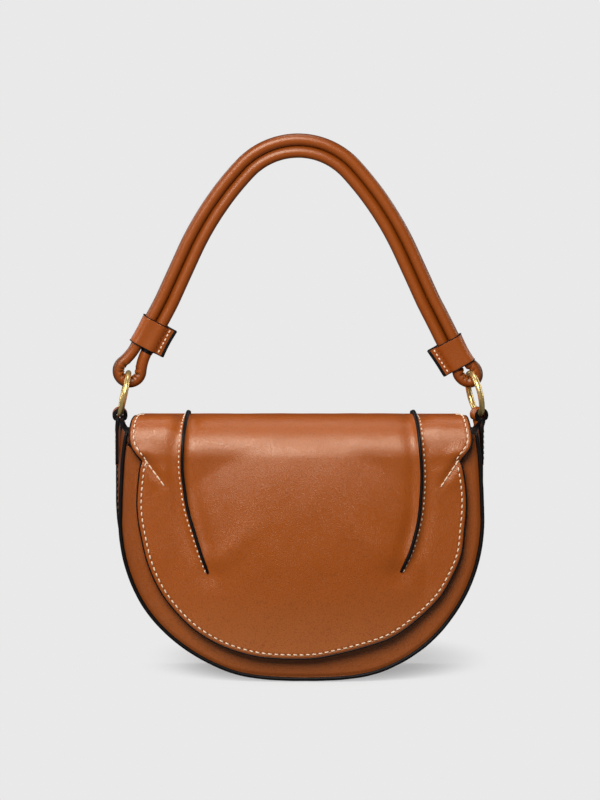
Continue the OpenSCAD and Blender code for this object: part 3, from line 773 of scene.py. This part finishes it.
def flapSheet(name, s0, s1, count, look, *nodes):
    s, xl, xr = flapRows(s0, s1, count, look["inset"])
    cols = 150
    u = 0.5 - 0.5 * np.cos(np.linspace(0.03, 0.97, cols) * math.pi)
    u = (u - u[0]) / (u[-1] - u[0])
    x = xl[:, None] * (1 - u) + xr[:, None] * u
    s = np.repeat(s[:, None], cols, 1)
    lift, d = flapLift(x, s)
    grid, n = flapPlace(x, s, lift - look["under"])
    groove = 0.25 * np.exp(-d / 1.2) + 0.9 * hump(d - flap["threadInset"], 0.6)  # darker where it is sewn
    bounceLight = (1 - ease(grid[..., 2], 15, 72)) * (grid[..., 1] < 0)  # paler low down on the front: painted bounce light from the floor
    marks = {"edgeAndShadeMark": groove, "bounceLightMark": bounceLight, "dullMark": ease(grid[..., 1], -14, -3)}
    marks = {k: v[:, ::-1] for k, v in marks.items()}
    sheet = thickSheet(name, grid[:, ::-1], look["thick"], [look["mat"]], n[:, ::-1], marks)
    overFold(sheet, s1 <= cutS, look["slot"], *nodes)


flapSheet("flapTail", 0.0, cutS, 90, skin, "flap_top_leather", "flap_top_board")
flapSheet("flapFace", cutS, endS, 240, skin, "flap_leather", "flap_board")
flapSheet("facingTop", flap["facingStart"], cutS, 50, backing, "flap_top_facing")
flapSheet("facingFront", cutS, endS - 0.6, 200, backing, "flap_facing")
print("flap sheets made")


def flapLine(line, lift=0.0):  # a flat line laid on the flap's leather
    h, _ = flapLift(line[:, 0], line[:, 1])
    return flapPlace(line[:, 0], line[:, 1], h + lift)


def splitLine(line):  # the parts of a flat line before and after the cut
    parts, run, side = [], [], None
    for q in line:
        now = q[1] < cutS
        if side is not None and now != side:
            parts.append((side, np.array(run + [q])))
            run = []
        run.append(q)
        side = now
    parts.append((side, np.array(run)))
    return [(isBack, part) for isBack, part in parts if len(part) > 3]


def flapEdges():
    for i, (isBack, part) in enumerate(splitLine(resample(flapOutline, step=1.1))):
        p, n = flapLine(part)
        faced = not isBack or part[:, 1].min() > flap["facingStart"] - 2
        thick = skin["thick"] + (backing["thick"] if faced else 0.4)
        sec = roundBar(1.0, thick + 0.2, 0.48, shift=(0.0, -thick / 2 + 0.2))
        bead = sweep(f"flapEdge{i}", p, n, sec, [blackEdge])
        overFold(bead, isBack, "edge_paint", *(["flap_edge"] if i == 1 or not isBack else []))


def flapThreads(lift=0.05):
    inset, p = flap["threadInset"], resample(openOutline, step=1.0)
    t = unit(np.gradient(p, axis=0))
    line = p + np.stack([t[:, 1], -t[:, 0]], 1) * inset
    d, _, _ = distanceTo(line, openOutline)
    line = line[(d > inset - 0.12) & (line[:, 1] > 2.0)]
    for i, (isBack, part) in enumerate(splitLine(line)):
        p, n = flapLine(part, lift)
        overFold(stitches(f"flapThread{i}", p, n, creamThread, **flapRow), isBack, "rope_core")
    p, n = flapLine(np.stack([np.linspace(-95, 95, 120), np.full(120, 3.4)], 1), lift)
    dress(stitches("tailThread", p, n, creamThread), "bag", "rope_core")


flapEdges()
flapThreads()


def dartPieces(side, line, short):
    name = "Left" if side < 0 else "Right"
    base, n = flapLine(resample(line, step=0.8))
    count = len(base)
    k = np.arange(count)
    grow = np.minimum(1, np.minimum(k / 2.5 + 0.35, (count - 1 - k) / 9.0 + 0.2)) ** 0.6
    height, foot = fin["height"], fin["foot"]
    sec = roundBar(fin["width"], height + foot, 0.9, 4, (0, (height - foot) / 2))
    sec = np.asarray(sec)[None] * np.stack([0.55 + 0.45 * grow, grow], 1)[:, None]
    ridge = sweep("dartFin" + name, base, n, sec, [blackEdge])
    overFold(ridge, False, "edge_paint", "dart_fin_" + name.lower())
    t = unit(np.gradient(line, axis=0))
    out = np.stack([t[:, 1], -t[:, 0]], 1)
    out *= side * np.sign(out[:, :1])
    off = fin["threadOff"] * (1 - 0.35 * ease(np.arange(len(line)), 120, 199))[:, None]
    p, n = flapLine((line + out * off)[6:])
    overFold(stitches("dartThread" + name, p, n, creamThread, **dartRow), False, "rope_core")
    p, n = flapLine(resample(short, count=20))
    overFold(stitches("tuckThread" + name, p, n, creamThread, **tuckRow), False, "rope_core")


dartPieces(-1, dartLines[0], tuckLines[0])
dartPieces(1, dartLines[1], tuckLines[1])
print("flap made")

# Handle: two strands of one covered cord, looped through the rings. In pairs the left comes first

cord = {
    "radius": 3.6, "fat": 3.88, "pitch": 7.5, "rise": 156.0, "crownTurn": 47.0, "legTurn": 66.0,
    "shoulder": 190.0, "heel": 150.0, "keeperTurn": 62.0, "endLength": 43.4, "loops": [7.0, 5.9],
    "open": [23.0, 33.0], "join": 2.4, "collar": 0.8, "keeper": 18.0, "drop": 1.2, "step": 0.9, "sides": 28,
    "seamTilt": 62.0,
}
keeperLook = {"gap": 0.3, "innerGap": 0.28, "wall": 1.2, "tab": 5.2, "lower": [1.8, 2.3], "tip": 2.1,
              "soft": 0.3}
cordRow = {"pitch": 2.6, "length": 1.5, "thread": 0.2, "sink": 0.2}
keeperRow = {"pitch": 2.7, "length": 2.1, "thread": 0.42}
# The ring's wire has the radius thick, and the cord's loops were worked out round the radius wire
ring = {"radius": 13.0, "thick": 1.8, "wire": 1.6, "lean": 12.0, "turns": [1.0, 15.0], "x": 108.79715,
        "z": 175.48524}
sideNames = ["Left", "Right"]


def sn(a):
    return math.sin(deg(a))


def cs(a):
    return math.cos(deg(a))


half = cord["pitch"] / 2
crown, leg, grip = cord["crownTurn"], cord["legTurn"], cord["keeperTurn"]
flare = [(r * cs(a) - half) / (1 - cs(a)) for r, a in zip(cord["loops"], cord["open"])]
reach = [(f + r) * sn(a) for f, r, a in zip(flare, cord["loops"], cord["open"])]
loopZ = [ring["z"] + ring["radius"] * cs(ring["lean"]) + r - cord["radius"] - ring["wire"] - 0.3
         for r in cord["loops"]]
legLength = [cord["endLength"] + (loopZ[0] - z) / sn(grip) for z in loopZ]
loopX = ring["x"] - ring["radius"] * sn(ring["lean"]) - (legLength[1] - legLength[0]) * cs(grip)
spanX = (loopX - cord["shoulder"] * (sn(leg) - sn(crown)) - cord["heel"] * (sn(leg) - sn(grip))
         - cord["endLength"] * cs(grip))
spanZ = (ring["z"] + cord["rise"] - loopZ[0] - cord["shoulder"] * (cs(crown) - cs(leg))
         - cord["heel"] * (cs(grip) - cs(leg)) - cord["endLength"] * sn(grip))
spread = sn(crown) * sn(leg) - cs(leg) * (1 - cs(crown))
crownR = (spanX * sn(leg) - spanZ * cs(leg)) / spread
legRun = (spanZ * sn(crown) - spanX * (1 - cs(crown))) / spread


def walk(x, z, heading, moves, step=1.0):  # a turtle in the handle's plane; a positive turn is clockwise
    pts = [(x, z)]
    for radius, amount in moves:
        if radius is None:
            n = max(int(amount / step), 1)
            turn, chord = 0, amount / n
        else:
            n = max(int(abs(radius) * deg(amount) / step), 4)
            turn = amount / n
            chord = 2 * abs(radius) * sn(turn / 2)
            turn *= np.sign(radius)
        for _ in range(n):
            x += cs(heading - turn / 2) * chord
            z += sn(heading - turn / 2) * chord
            heading -= turn
            pts.append((x, z))
    return np.array(pts)


def strandHalf(i, off):
    return walk(0, ring["z"] + cord["rise"] + off, 0, [
        (crownR + off, crown), (cord["shoulder"] + off, leg - crown), (None, legRun),
        (off - cord["heel"], leg - grip), (None, legLength[i] - reach[i])])


def loopHalf(i, start):
    turn = cord["open"][i]
    moves = [(-flare[i], turn), (cord["loops"][i], 180 + 2 * turn), (-flare[i], turn)]
    return walk(*start, -grip, moves, 0.7)


def cordPath():  # closed: over the top outside, round the right loop, back inside, round the left loop
    parts = []
    for i in (0, 1):
        outer, inner = strandHalf(i, half), strandHalf(i, -half)
        parts.append((outer, loopHalf(i, outer[-1]), inner))
    outerR, loopR, innerR = parts[1]
    outerL, loopL, innerL = (part * [-1, 1] for part in parts[0])
    path = np.vstack([outerR, loopR[1:-1], innerR[::-1], innerL[1:], loopL[::-1][1:-1], outerL[::-1][:-1]])
    return resample(path, step=cord["step"], closed=True)


def settle(p):  # the worn handle hangs a little narrower and lower than its even curve, most on the right
    p = np.array(p, float)
    x, z = p[..., 0], p[..., 2]
    middle = np.clip(x / 62, -1, 1) * (1 - 0.35 * (x < 0))
    loop = (1 - ease(z, 196, 232)) * ease(z, 180, 190) * ease(x, 0, 60)
    p[..., 0] = x - ease(z, 176, 205) * (0.75 + 1.25 * middle + 0.5 * ease(x, -20, 60)) - 0.9 * loop
    p[..., 2] = z - cord["drop"] * ease(z, 215, 320)
    return p


def handleCord():
    p = upright(cordPath())
    t = unit(np.roll(p, -1, 0) - np.roll(p, 1, 0))
    turn = np.linalg.norm(np.roll(t, -1, 0) - np.roll(t, 1, 0), axis=1)
    turn = np.convolve(np.concatenate([turn[-6:], turn, turn[:6]]), np.ones(13) / 13, "valid")
    tight = ease(turn, 0.03, 0.2)[:, None]
    along = np.arange(len(p)) * cord["step"]
    a = (np.arange(cord["sides"]) * 2 * math.pi / cord["sides"])[None]
    r = cord["radius"] + (cord["fat"] - cord["radius"]) * ease(p[:, 2], 203, 209)
    r = (r * (1 + 0.008 * waves(along * 3, along * 1.7, 0.9)))[:, None]
    crease = np.sin(along[:, None] * 1.9 + 1.6 * np.sin(a) + 0.8 * np.sin(along[:, None] * 0.7))
    pleat = tight * 0.4 * np.clip(np.cos(a) + 0.25, 0, 1) * crease
    r = r * (1 - 0.012 * np.cos(2 * a)) + pleat
    # Painted shade: darker at the cord's sides where the light falls off, and in the pleat valleys of the
    # tight loops
    dark = (0.75 + 0.25 * tight) * np.abs(np.cos(a)) ** (2.2 - 0.6 * tight) + tight * (0.15 - pleat * 3)
    sec = np.stack([np.cos(a) * r, np.sin(a) * r], 2)
    obj = sweep("handleCord", settle(p), facing((0, -1, 0), len(p)), sec, [cordLeather], closed=True,
                marks={"edgeAndShadeMark": np.clip(dark, 0, 1)})
    dress(obj, "handle", "tan_leather", "handle_cover", "handle_core")
    print("cord length", round(len(p) * cord["step"]), "mm")


def cordSeam(i, side):  # small threads along the outermost side
    line = strandHalf(i, half)[4:-10] * [side, 1]
    t = unit(np.gradient(line, axis=0))
    out = np.stack([-t[:, 1], t[:, 0]], 1)
    out *= np.sign((out * (line - [0, 200])).sum(1, keepdims=True))
    n = upright(out * cs(cord["seamTilt"]), sn(cord["seamTilt"]))
    p = settle(upright(line) + n * (cord["radius"] - 0.12))
    dress(stitches("cordThread" + sideNames[i], p, n, creamThread, **cordRow), "handle", "rope_core")


def atLoop(i, along, across):  # points in the strands' lines near a loop; along runs back up the handle
    down, out = np.array([cs(grip), -sn(grip)]), np.array([sn(grip), cs(grip)])
    along, across = np.reshape(along, (-1, 1)), np.reshape(across, (-1, 1))
    return (strandHalf(i, 0)[-1] + down * (reach[i] - along) + out * across) * [1 if i else -1, 1]


def cordEnd(count=9):  # the cord's painted end below the left keeper
    low = reach[0] + cord["collar"] - keeperLook["lower"][0]
    line = atLoop(0, np.linspace(low, low + cord["join"], count), -half)
    swell = 1 + 0.05 * np.sin(np.linspace(0, math.pi, count)) ** 0.5
    sec = np.asarray(circleSection(cord["radius"] + 0.1, 24))[None] * swell[:, None, None]
    obj = sweep("cordJoin", settle(upright(line)), facing((0, -1, 0), count), sec, [blackEdge])
    dress(obj, "handle", "edge_paint", "cord_join")


handleCord()
cordSeam(0, -1)
cordSeam(1, 1)
cordEnd()


def keeperSection(gap, wall, tab):  # (across, depth): round both strands and out to the sewn end
    r = cord["radius"] + gap + wall
    edge = -half - r

    def turn(centre, start, end, count):
        return [(centre + r * cs(a), r * sn(a)) for a in np.linspace(start, end, count)]

    flat = [(x, r - 0.25 * cs(x / half * 90)) for x in np.linspace(half, -half, 6)[1:-1]]
    sewn = [(edge - 0.4, wall + 0.35), (edge - 1.6, wall + 0.05), (edge - tab + 0.4, wall),
            (edge - tab, wall * 0.6)]
    upper = turn(half, -90, 90, 15) + flat + turn(-half, 90, 158, 9) + sewn
    lower = [(x, -y) for x, y in sewn[::-1]] + turn(-half, -158, -90, 9) + [(-x, -y) for x, y in flat]
    return np.array(upper + lower)


def makeKeeper(i, part):
    name, rows, sewnAt = sideNames[i], 15, 15 + 4 + 9  # the section's sewn end begins at that point
    start = reach[i] + (0 if i else cord["join"] + cord["collar"]) - keeperLook["lower"][i]
    outer = keeperSection(keeperLook["gap"], keeperLook["wall"], keeperLook["tab"])
    inner = keeperSection(keeperLook["innerGap"], 0.0, 0.0)
    inner[:, 0] = np.maximum(inner[:, 0], -half - cord["radius"] - 0.3)
    grid, hole = [], []
    for f in np.linspace(0, 1, rows):
        for rings, sec in ((grid, outer * (1 - 0.03 * math.sin(math.pi * f))), (hole, inner)):
            q = atLoop(i, start + f * cord["keeper"], sec[:, 0])
            rings.append(np.stack([q[:, 0], sec[:, 1], q[:, 1]], 1))
    grid, hole = settle(grid), settle(hole)
    cols = grid.shape[1]
    count = rows * cols
    cover = gridFaces(rows, cols, False, True)
    inside = [tuple(v + count for v in f[::-1]) for f in cover]
    ends = []
    for r in (0, rows - 1):
        for c in range(cols):
            c2 = (c + 1) % cols
            f = (r * cols + c, r * cols + c2, r * cols + c2 + count, r * cols + c + count)
            ends.append(f if r else f[::-1])
    painted = [int(sewnAt + 2 <= f[0] % cols < sewnAt + 5) for f in cover]
    faces = [f if i else f[::-1] for f in cover + inside + ends]
    obj = makeObject("keeper" + name, np.concatenate([grid, hole]), faces, [cordLeather, blackEdge],
                     painted + [0] * len(inside) + [1] * len(ends), {"edgeAndShadeMark": np.zeros(2 * count)})
    bevel = obj.modifiers.new("soften", "BEVEL")
    bevel.width, bevel.segments = keeperLook["soft"] * mm, 2
    bevel.limit_method, bevel.angle_limit = "ANGLE", deg(50)
    dress(obj, part, "tan_leather", "keeper_" + name.lower())
    for end, r, inwards in (("Low", 0, 1), ("High", rows - 1, -2)):
        axis = facing(unit(grid[r] - grid[inwards]).mean(0), cols)
        sec = circleSection(0.3, 8)
        bead = sweep("keeperPaint" + name + end, grid[r], axis, sec, [blackEdge], closed=True)
        dress(bead, part, "edge_paint")
    tip = grid[:, sewnAt + 3]
    tip = tip + unit(grid[:, sewnAt] - tip) * (keeperLook["tip"] / 2 - 0.6)
    tip[:, 1] = 0
    sec = roundBar(keeperLook["tip"], 2.8, 0.6)
    dress(sweep("keeperTip" + name, tip, facing((0, -1, 0), rows), sec, [blackEdge]), part, "edge_paint")
    across = -half - cord["radius"] - keeperLook["gap"] - keeperLook["wall"] - 1.5
    line = atLoop(i, start + np.linspace(0.6, cord["keeper"] - 0.6, 30), across)
    for face, way in (("Front", -1), ("Back", 1)):
        p, n = settle(upright(line, way * keeperLook["wall"])), facing((0, way, 0), len(line))
        dress(stitches("keeperThread" + name + face, p, n, creamThread, **keeperRow), part, "rope_core")


makeKeeper(0, "left_keeper")
makeKeeper(1, "right_keeper")
print("handle made")

# Rings and tabs


def makeRing(i, side, part):
    a = np.linspace(0, 2 * math.pi, 97)[:-1]
    lean = deg(ring["lean"]) * -side  # the top leans towards the middle
    aside = deg(ring["turns"][i])
    plain = np.stack([-np.sin(a) * math.sin(aside), np.sin(a) * math.cos(aside), np.cos(a)], 1)
    turn = np.array([[math.cos(lean), 0, math.sin(lean)], [0, 1, 0], [-math.sin(lean), 0, math.cos(lean)]])
    axis = turn @ [math.cos(aside), math.sin(aside), 0]
    p = ring["radius"] * plain @ turn.T + [side * ring["x"], 0, ring["z"]]
    weld = 1 + 0.03 * hump(a - 1.9, 0.05)
    sec = np.asarray(circleSection(ring["thick"], 20))[None] * weld[:, None, None]
    obj = sweep("ring" + sideNames[i], p, facing(axis, len(p)), sec, [ringBrass], closed=True)
    dress(obj, part, "brass", "ring_" + sideNames[i].lower())


makeRing(0, -1, "left_ring")
makeRing(1, 1, "right_ring")

tab = {"x": 111.5, "eyeZ": 162.2, "eye": 2.1, "strap": 2.6, "width": 8.0, "length": 24.0, "leg": 0.55,
       "neckZ": 160.0, "neck": 1.25, "endZ": 153.5, "twist": 1.6, "threadY": 2.7}
tabRow = {"pitch": 3.2, "length": 2.0, "thread": 0.24}


def tabLine():  # the strap's middle line, from the inner tail over the eye to the outer tail
    out = tab["leg"] + tab["strap"] / 2
    eye = tab["eye"] + tab["strap"] / 2
    tail = [(out, z) for z in np.linspace(tab["endZ"], body["height"] - tab["length"], 24)]
    centre = [(-x, z) for x, z in tail[::-1]] + [(-tab["neck"], tab["neckZ"])]
    centre += [(eye * cs(a), tab["eyeZ"] + eye * sn(a)) for a in np.linspace(214, -34, 40)]
    centre += [(tab["neck"], tab["neckZ"])] + tail
    return smoothCurve(resample(centre, step=1.3), 150)


def makeTab(i, side):
    name, line = sideNames[i], tabLine()
    p = upright(line * [side, 1] + [side * tab["x"], 0])
    n = np.cross(unit(np.gradient(p, axis=0)), [0, 1, 0])
    count = len(p)
    k = np.minimum(np.arange(count), count - 1 - np.arange(count))
    taper = np.clip(0.55 + k / 9.0, 0, 1) ** 0.6
    sec = np.asarray(roundBar(tab["width"], tab["strap"], 0.4, 2))[None]
    sec = sec * np.stack([taper, 0.75 + 0.25 * ease(line[:, 1], 150, 157)], 1)[:, None]
    obj = sweep("tab" + name, p, n, sec, [tanLeather, blackEdge], marks={"edgeAndShadeMark": np.zeros(count)})
    for poly in obj.data.polygons:  # the sides and the ends are painted
        level = sum(obj.data.vertices[v].co.y for v in poly.vertices) / len(poly.vertices)
        poly.material_index = int(abs(level) > 0.0031 or len(poly.vertices) > 4)
    middle = side * tab["x"] * mm
    for v in obj.data.vertices:  # the eye is twisted with its ring
        aside = deg(ring["turns"][i] * tab["twist"]) * float(ease(v.co.z / mm, 154.5, 159))
        x, y = v.co.x - middle, v.co.y
        v.co.x = middle + x * math.cos(aside) - y * math.sin(aside)
        v.co.y = x * math.sin(aside) + y * math.cos(aside)
    dress(obj, "bag", "tan_leather", "tab_" + name.lower())
    outside = side * (tab["x"] + tab["leg"] + tab["strap"] * 0.875)
    z = np.linspace(body["height"] - tab["length"] + 2.5, tab["endZ"], 24)
    line = np.stack([np.full(len(z), outside), z], 1)
    for letter, way in (("A", -1), ("B", 1)):
        p, n = upright(line, way * tab["threadY"]), facing((side, 0, 0), len(z))
        dress(stitches("tabThread" + name + letter, p, n, creamThread, **tabRow), "bag", "rope_core")


makeTab(0, -1)
makeTab(1, 1)

# Snap and pocket


def lathe(name, profile, y, part, *nodes):  # turns (radius, height) points about Y, facing the front
    steps = 56
    a = (np.arange(steps) * 2 * math.pi / steps)[None]
    radius, height = (np.asarray(profile, float)[:, k:k + 1] for k in (0, 1))
    y = y - np.repeat(height, steps, 1)
    grid = np.stack([radius * np.cos(a), y, snap["z"] + radius * np.sin(a)], 2)
    obj = makeObject(name, grid, gridFaces(len(profile), steps, False, True), [ringBrass])
    dress(obj, part, "brass", *nodes)


snap = {"z": 48.0, "hole": 3.6, "pin": 2.1, "socketY": -35.9, "studY": -39.0}
hole, pin = snap["hole"], snap["pin"]
socketProfile = [(hole, -0.4), (hole, 1.7), (hole + 0.35, 2.1), (hole + 0.9, 2.2), (5.2, 2.15), (5.5, 1.75),
                 (7.6, 1.7), (8.0, 1.3), (8.75, 1.2), (9.0, 0.9), (9.0, -0.6), (hole, -0.6)]
studProfile = [(0.01, -1.9), (pin - 0.5, -1.9), (pin, -1.5), (pin, -0.95), (2.9, -0.8), (6.4, -0.75),
               (8.3, -0.6), (8.9, -0.35), (9.0, 0.0), (9.0, 0.6), (0.01, 0.6)]
lathe("snapSocket", socketProfile, snap["socketY"], "bag", "snap_socket", "socket_washer")
lathe("snapStud", studProfile, snap["studY"], "flap_front", "snap_stud", "stud_washer")

pocket = {"width": 120.0, "height": 72.0, "depth": 6.6, "z": 58.0, "radius": 12.0, "y": 30.6, "thick": 0.8,
          "binding": 5.6}


def makePocket():
    rows, cols = 40, 60
    wide, r = pocket["width"] / 2, pocket["radius"]
    u, v = np.meshgrid(np.linspace(-1, 1, cols), np.linspace(0, 1, rows))
    x = u * wide
    cut = np.clip(np.abs(x) - (wide - r), 0, r)
    low = r - np.sqrt(np.maximum(r * r - cut * cut, 0))
    z = pocket["z"] + low + v * (pocket["height"] - low)
    edge = np.minimum(np.minimum(wide - np.abs(x), z - pocket["z"] - low), 8.0)
    y = pocket["y"] - pocket["depth"] * ease(edge, 0, 7.5) ** 0.6
    y -= 0.35 * waves(x * 1.5, z * 1.2, 3.0) * ease(edge, 0, 6)
    n = np.zeros((rows, cols, 3))
    n[..., 1] = -1
    sheet = thickSheet("slipPocket", np.stack([x, y, z], 2), pocket["thick"], [cottonLining], n)
    dress(sheet, "bag", "cotton_lining", "slip_pocket")
    top, ahead = np.stack([x[-1], y[-1], z[-1] - 2.2], 1), facing((0, -1, 0), cols)
    sec = roundBar(pocket["binding"], 2.2, 0.7, shift=(0.0, -0.35))
    bind = sweep("pocketBinding", top, ahead, sec, [bodyLeather], marks={"edgeAndShadeMark": np.zeros(cols)})
    dress(bind, "bag", "tan_leather", "pocket_binding")
    dress(stitches("bindingThread", top + [0, -0.8, -1.2], ahead, creamThread), "bag", "rope_core")


makePocket()


def mouthEdge(name, x, y, z, width):  # a painted top edge
    sec = roundBar(width, 0.9, 0.42)
    bead = sweep(name, np.stack([x, y, z], 1), facing((0, 0, 1), len(x)), sec, [blackEdge])
    dress(bead, "bag", "edge_paint")


def mouthEdges():
    y, width = 33.4, 4.2
    end = np.linspace(100, 106.5, 14)
    x = np.concatenate([-end[::-1], np.linspace(-98, 98, 60), end])
    mouthEdge("frontMouthEdge", x, np.full(len(x), -y), mouthLine(x, -1), width)
    back, count = sideX(body["height"], gusset["inset"], 0.0), 24
    share = (1 - np.linspace(0, 1, count)) ** 1.4
    for name, side in zip(sideNames, (-1, 1)):
        front = back - nipIn(body["height"]) + side * body["frontShift"]
        across = side * (front * share + back * (1 - share) - 1.6)
        depth, level = np.linspace(-32.5, 32.5, count), np.full(count, body["height"])
        mouthEdge("gussetTopEdge" + name, across, depth, level, 4.0)
    x = np.linspace(-112, 112, 60)
    mouthEdge("backMouthEdge", x, np.full(60, y), mouthLine(x, 1), width)


mouthEdges()
print("fittings made")

# Stage, world and lamps

stage = {"grey": 233, "catch": 252, "matte": 108, "shadow": 0.62, "centre": (0.008, 0.05, 0.0), "near": 0.06,
         "far": 0.118, "wide": 20000.0, "ambient": 0.05, "cool": (0.9, 0.92, 1.0, 1.0)}
lights = {  # place, aim, width, depth and watts
    "key": ((-450, -1450, 1350), (0, 0, 130), 1300, 1150, 43.5),
    "overhead": ((0, 250, 1500), (0, 0, 150), 700, 500, 4.0),
    "rightFill": ((1650, 150, 600), (0, 0, 150), 500, 900, 4.5),
    "leftFill": ((-1650, 150, 600), (0, 0, 150), 500, 900, 4.5),
    "backRight": ((1200, 1300, 900), (0, 0, 110), 1000, 700, 4.5),
    "backLeft": ((-1200, 1300, 900), (0, 0, 110), 1000, 700, 4.5),
}


def grey(name):
    return rgb(*[stage[name]] * 3)


def makeStage():
    mat, sh, at = newMaterial("paleFloor")
    offset = sh.node("VectorMath", {"operation": "SUBTRACT"}, {0: at, 1: stage["centre"]})
    away = sh.node("VectorMath", {"operation": "LENGTH"}, {0: offset}, 1)
    away = away.between(stage["near"], stage["far"])
    glow = sh.node("Emission", {}, {"Color": grey("grey"), "Strength": 1.0})
    catch, matte = (sh.node("BsdfDiffuse", {}, {"Color": grey(name)}) for name in ("catch", "matte"))
    pale = sh.node("MixShader", {}, {0: 1 - stage["shadow"] * (1 - away), 1: catch, 2: glow})
    finishTree(mat.node_tree, sh.node("MixShader", {}, {0: sh.node("LightPath"), 1: matte, 2: pale}))
    wide = stage["wide"]
    corners = [(-wide, -wide, 0), (wide, -wide, 0), (wide, wide, 0), (-wide, wide, 0)]
    makeObject("floor", corners, [(0, 1, 2, 3)], [mat])


def makeWorld():  # grey-white behind the object, and a faint cool light from all round
    world = bpy.context.scene.world or bpy.data.worlds.new("world")
    bpy.context.scene.world = world
    world.use_nodes = True
    world.node_tree.nodes.clear()
    sh = Shade(world.node_tree)
    plain = sh.node("Background", {}, {"Color": grey("grey"), "Strength": 1.0})
    faint = sh.node("Background", {}, {"Color": stage["cool"], "Strength": stage["ambient"]})
    shader = sh.node("MixShader", {}, {0: sh.node("LightPath"), 1: faint, 2: plain})
    finishTree(world.node_tree, shader, "World")


def makeLights():
    for name, (place, aim, wide, deep, power) in lights.items():
        data = bpy.data.lights.new(name, "AREA")
        data.shape = "RECTANGLE"
        data.size, data.size_y, data.energy = wide * mm, deep * mm, power
        lamp = bpy.data.objects.new(name, data)
        bpy.context.scene.collection.objects.link(lamp)
        lamp.location = Vector(place) * mm
        lamp.rotation_euler = (Vector(aim) * mm - lamp.location).to_track_quat("-Z", "Y").to_euler()


makeStage()
makeWorld()
makeLights()
bpy.context.scene.view_settings.view_transform = "Standard"
print("stage made")
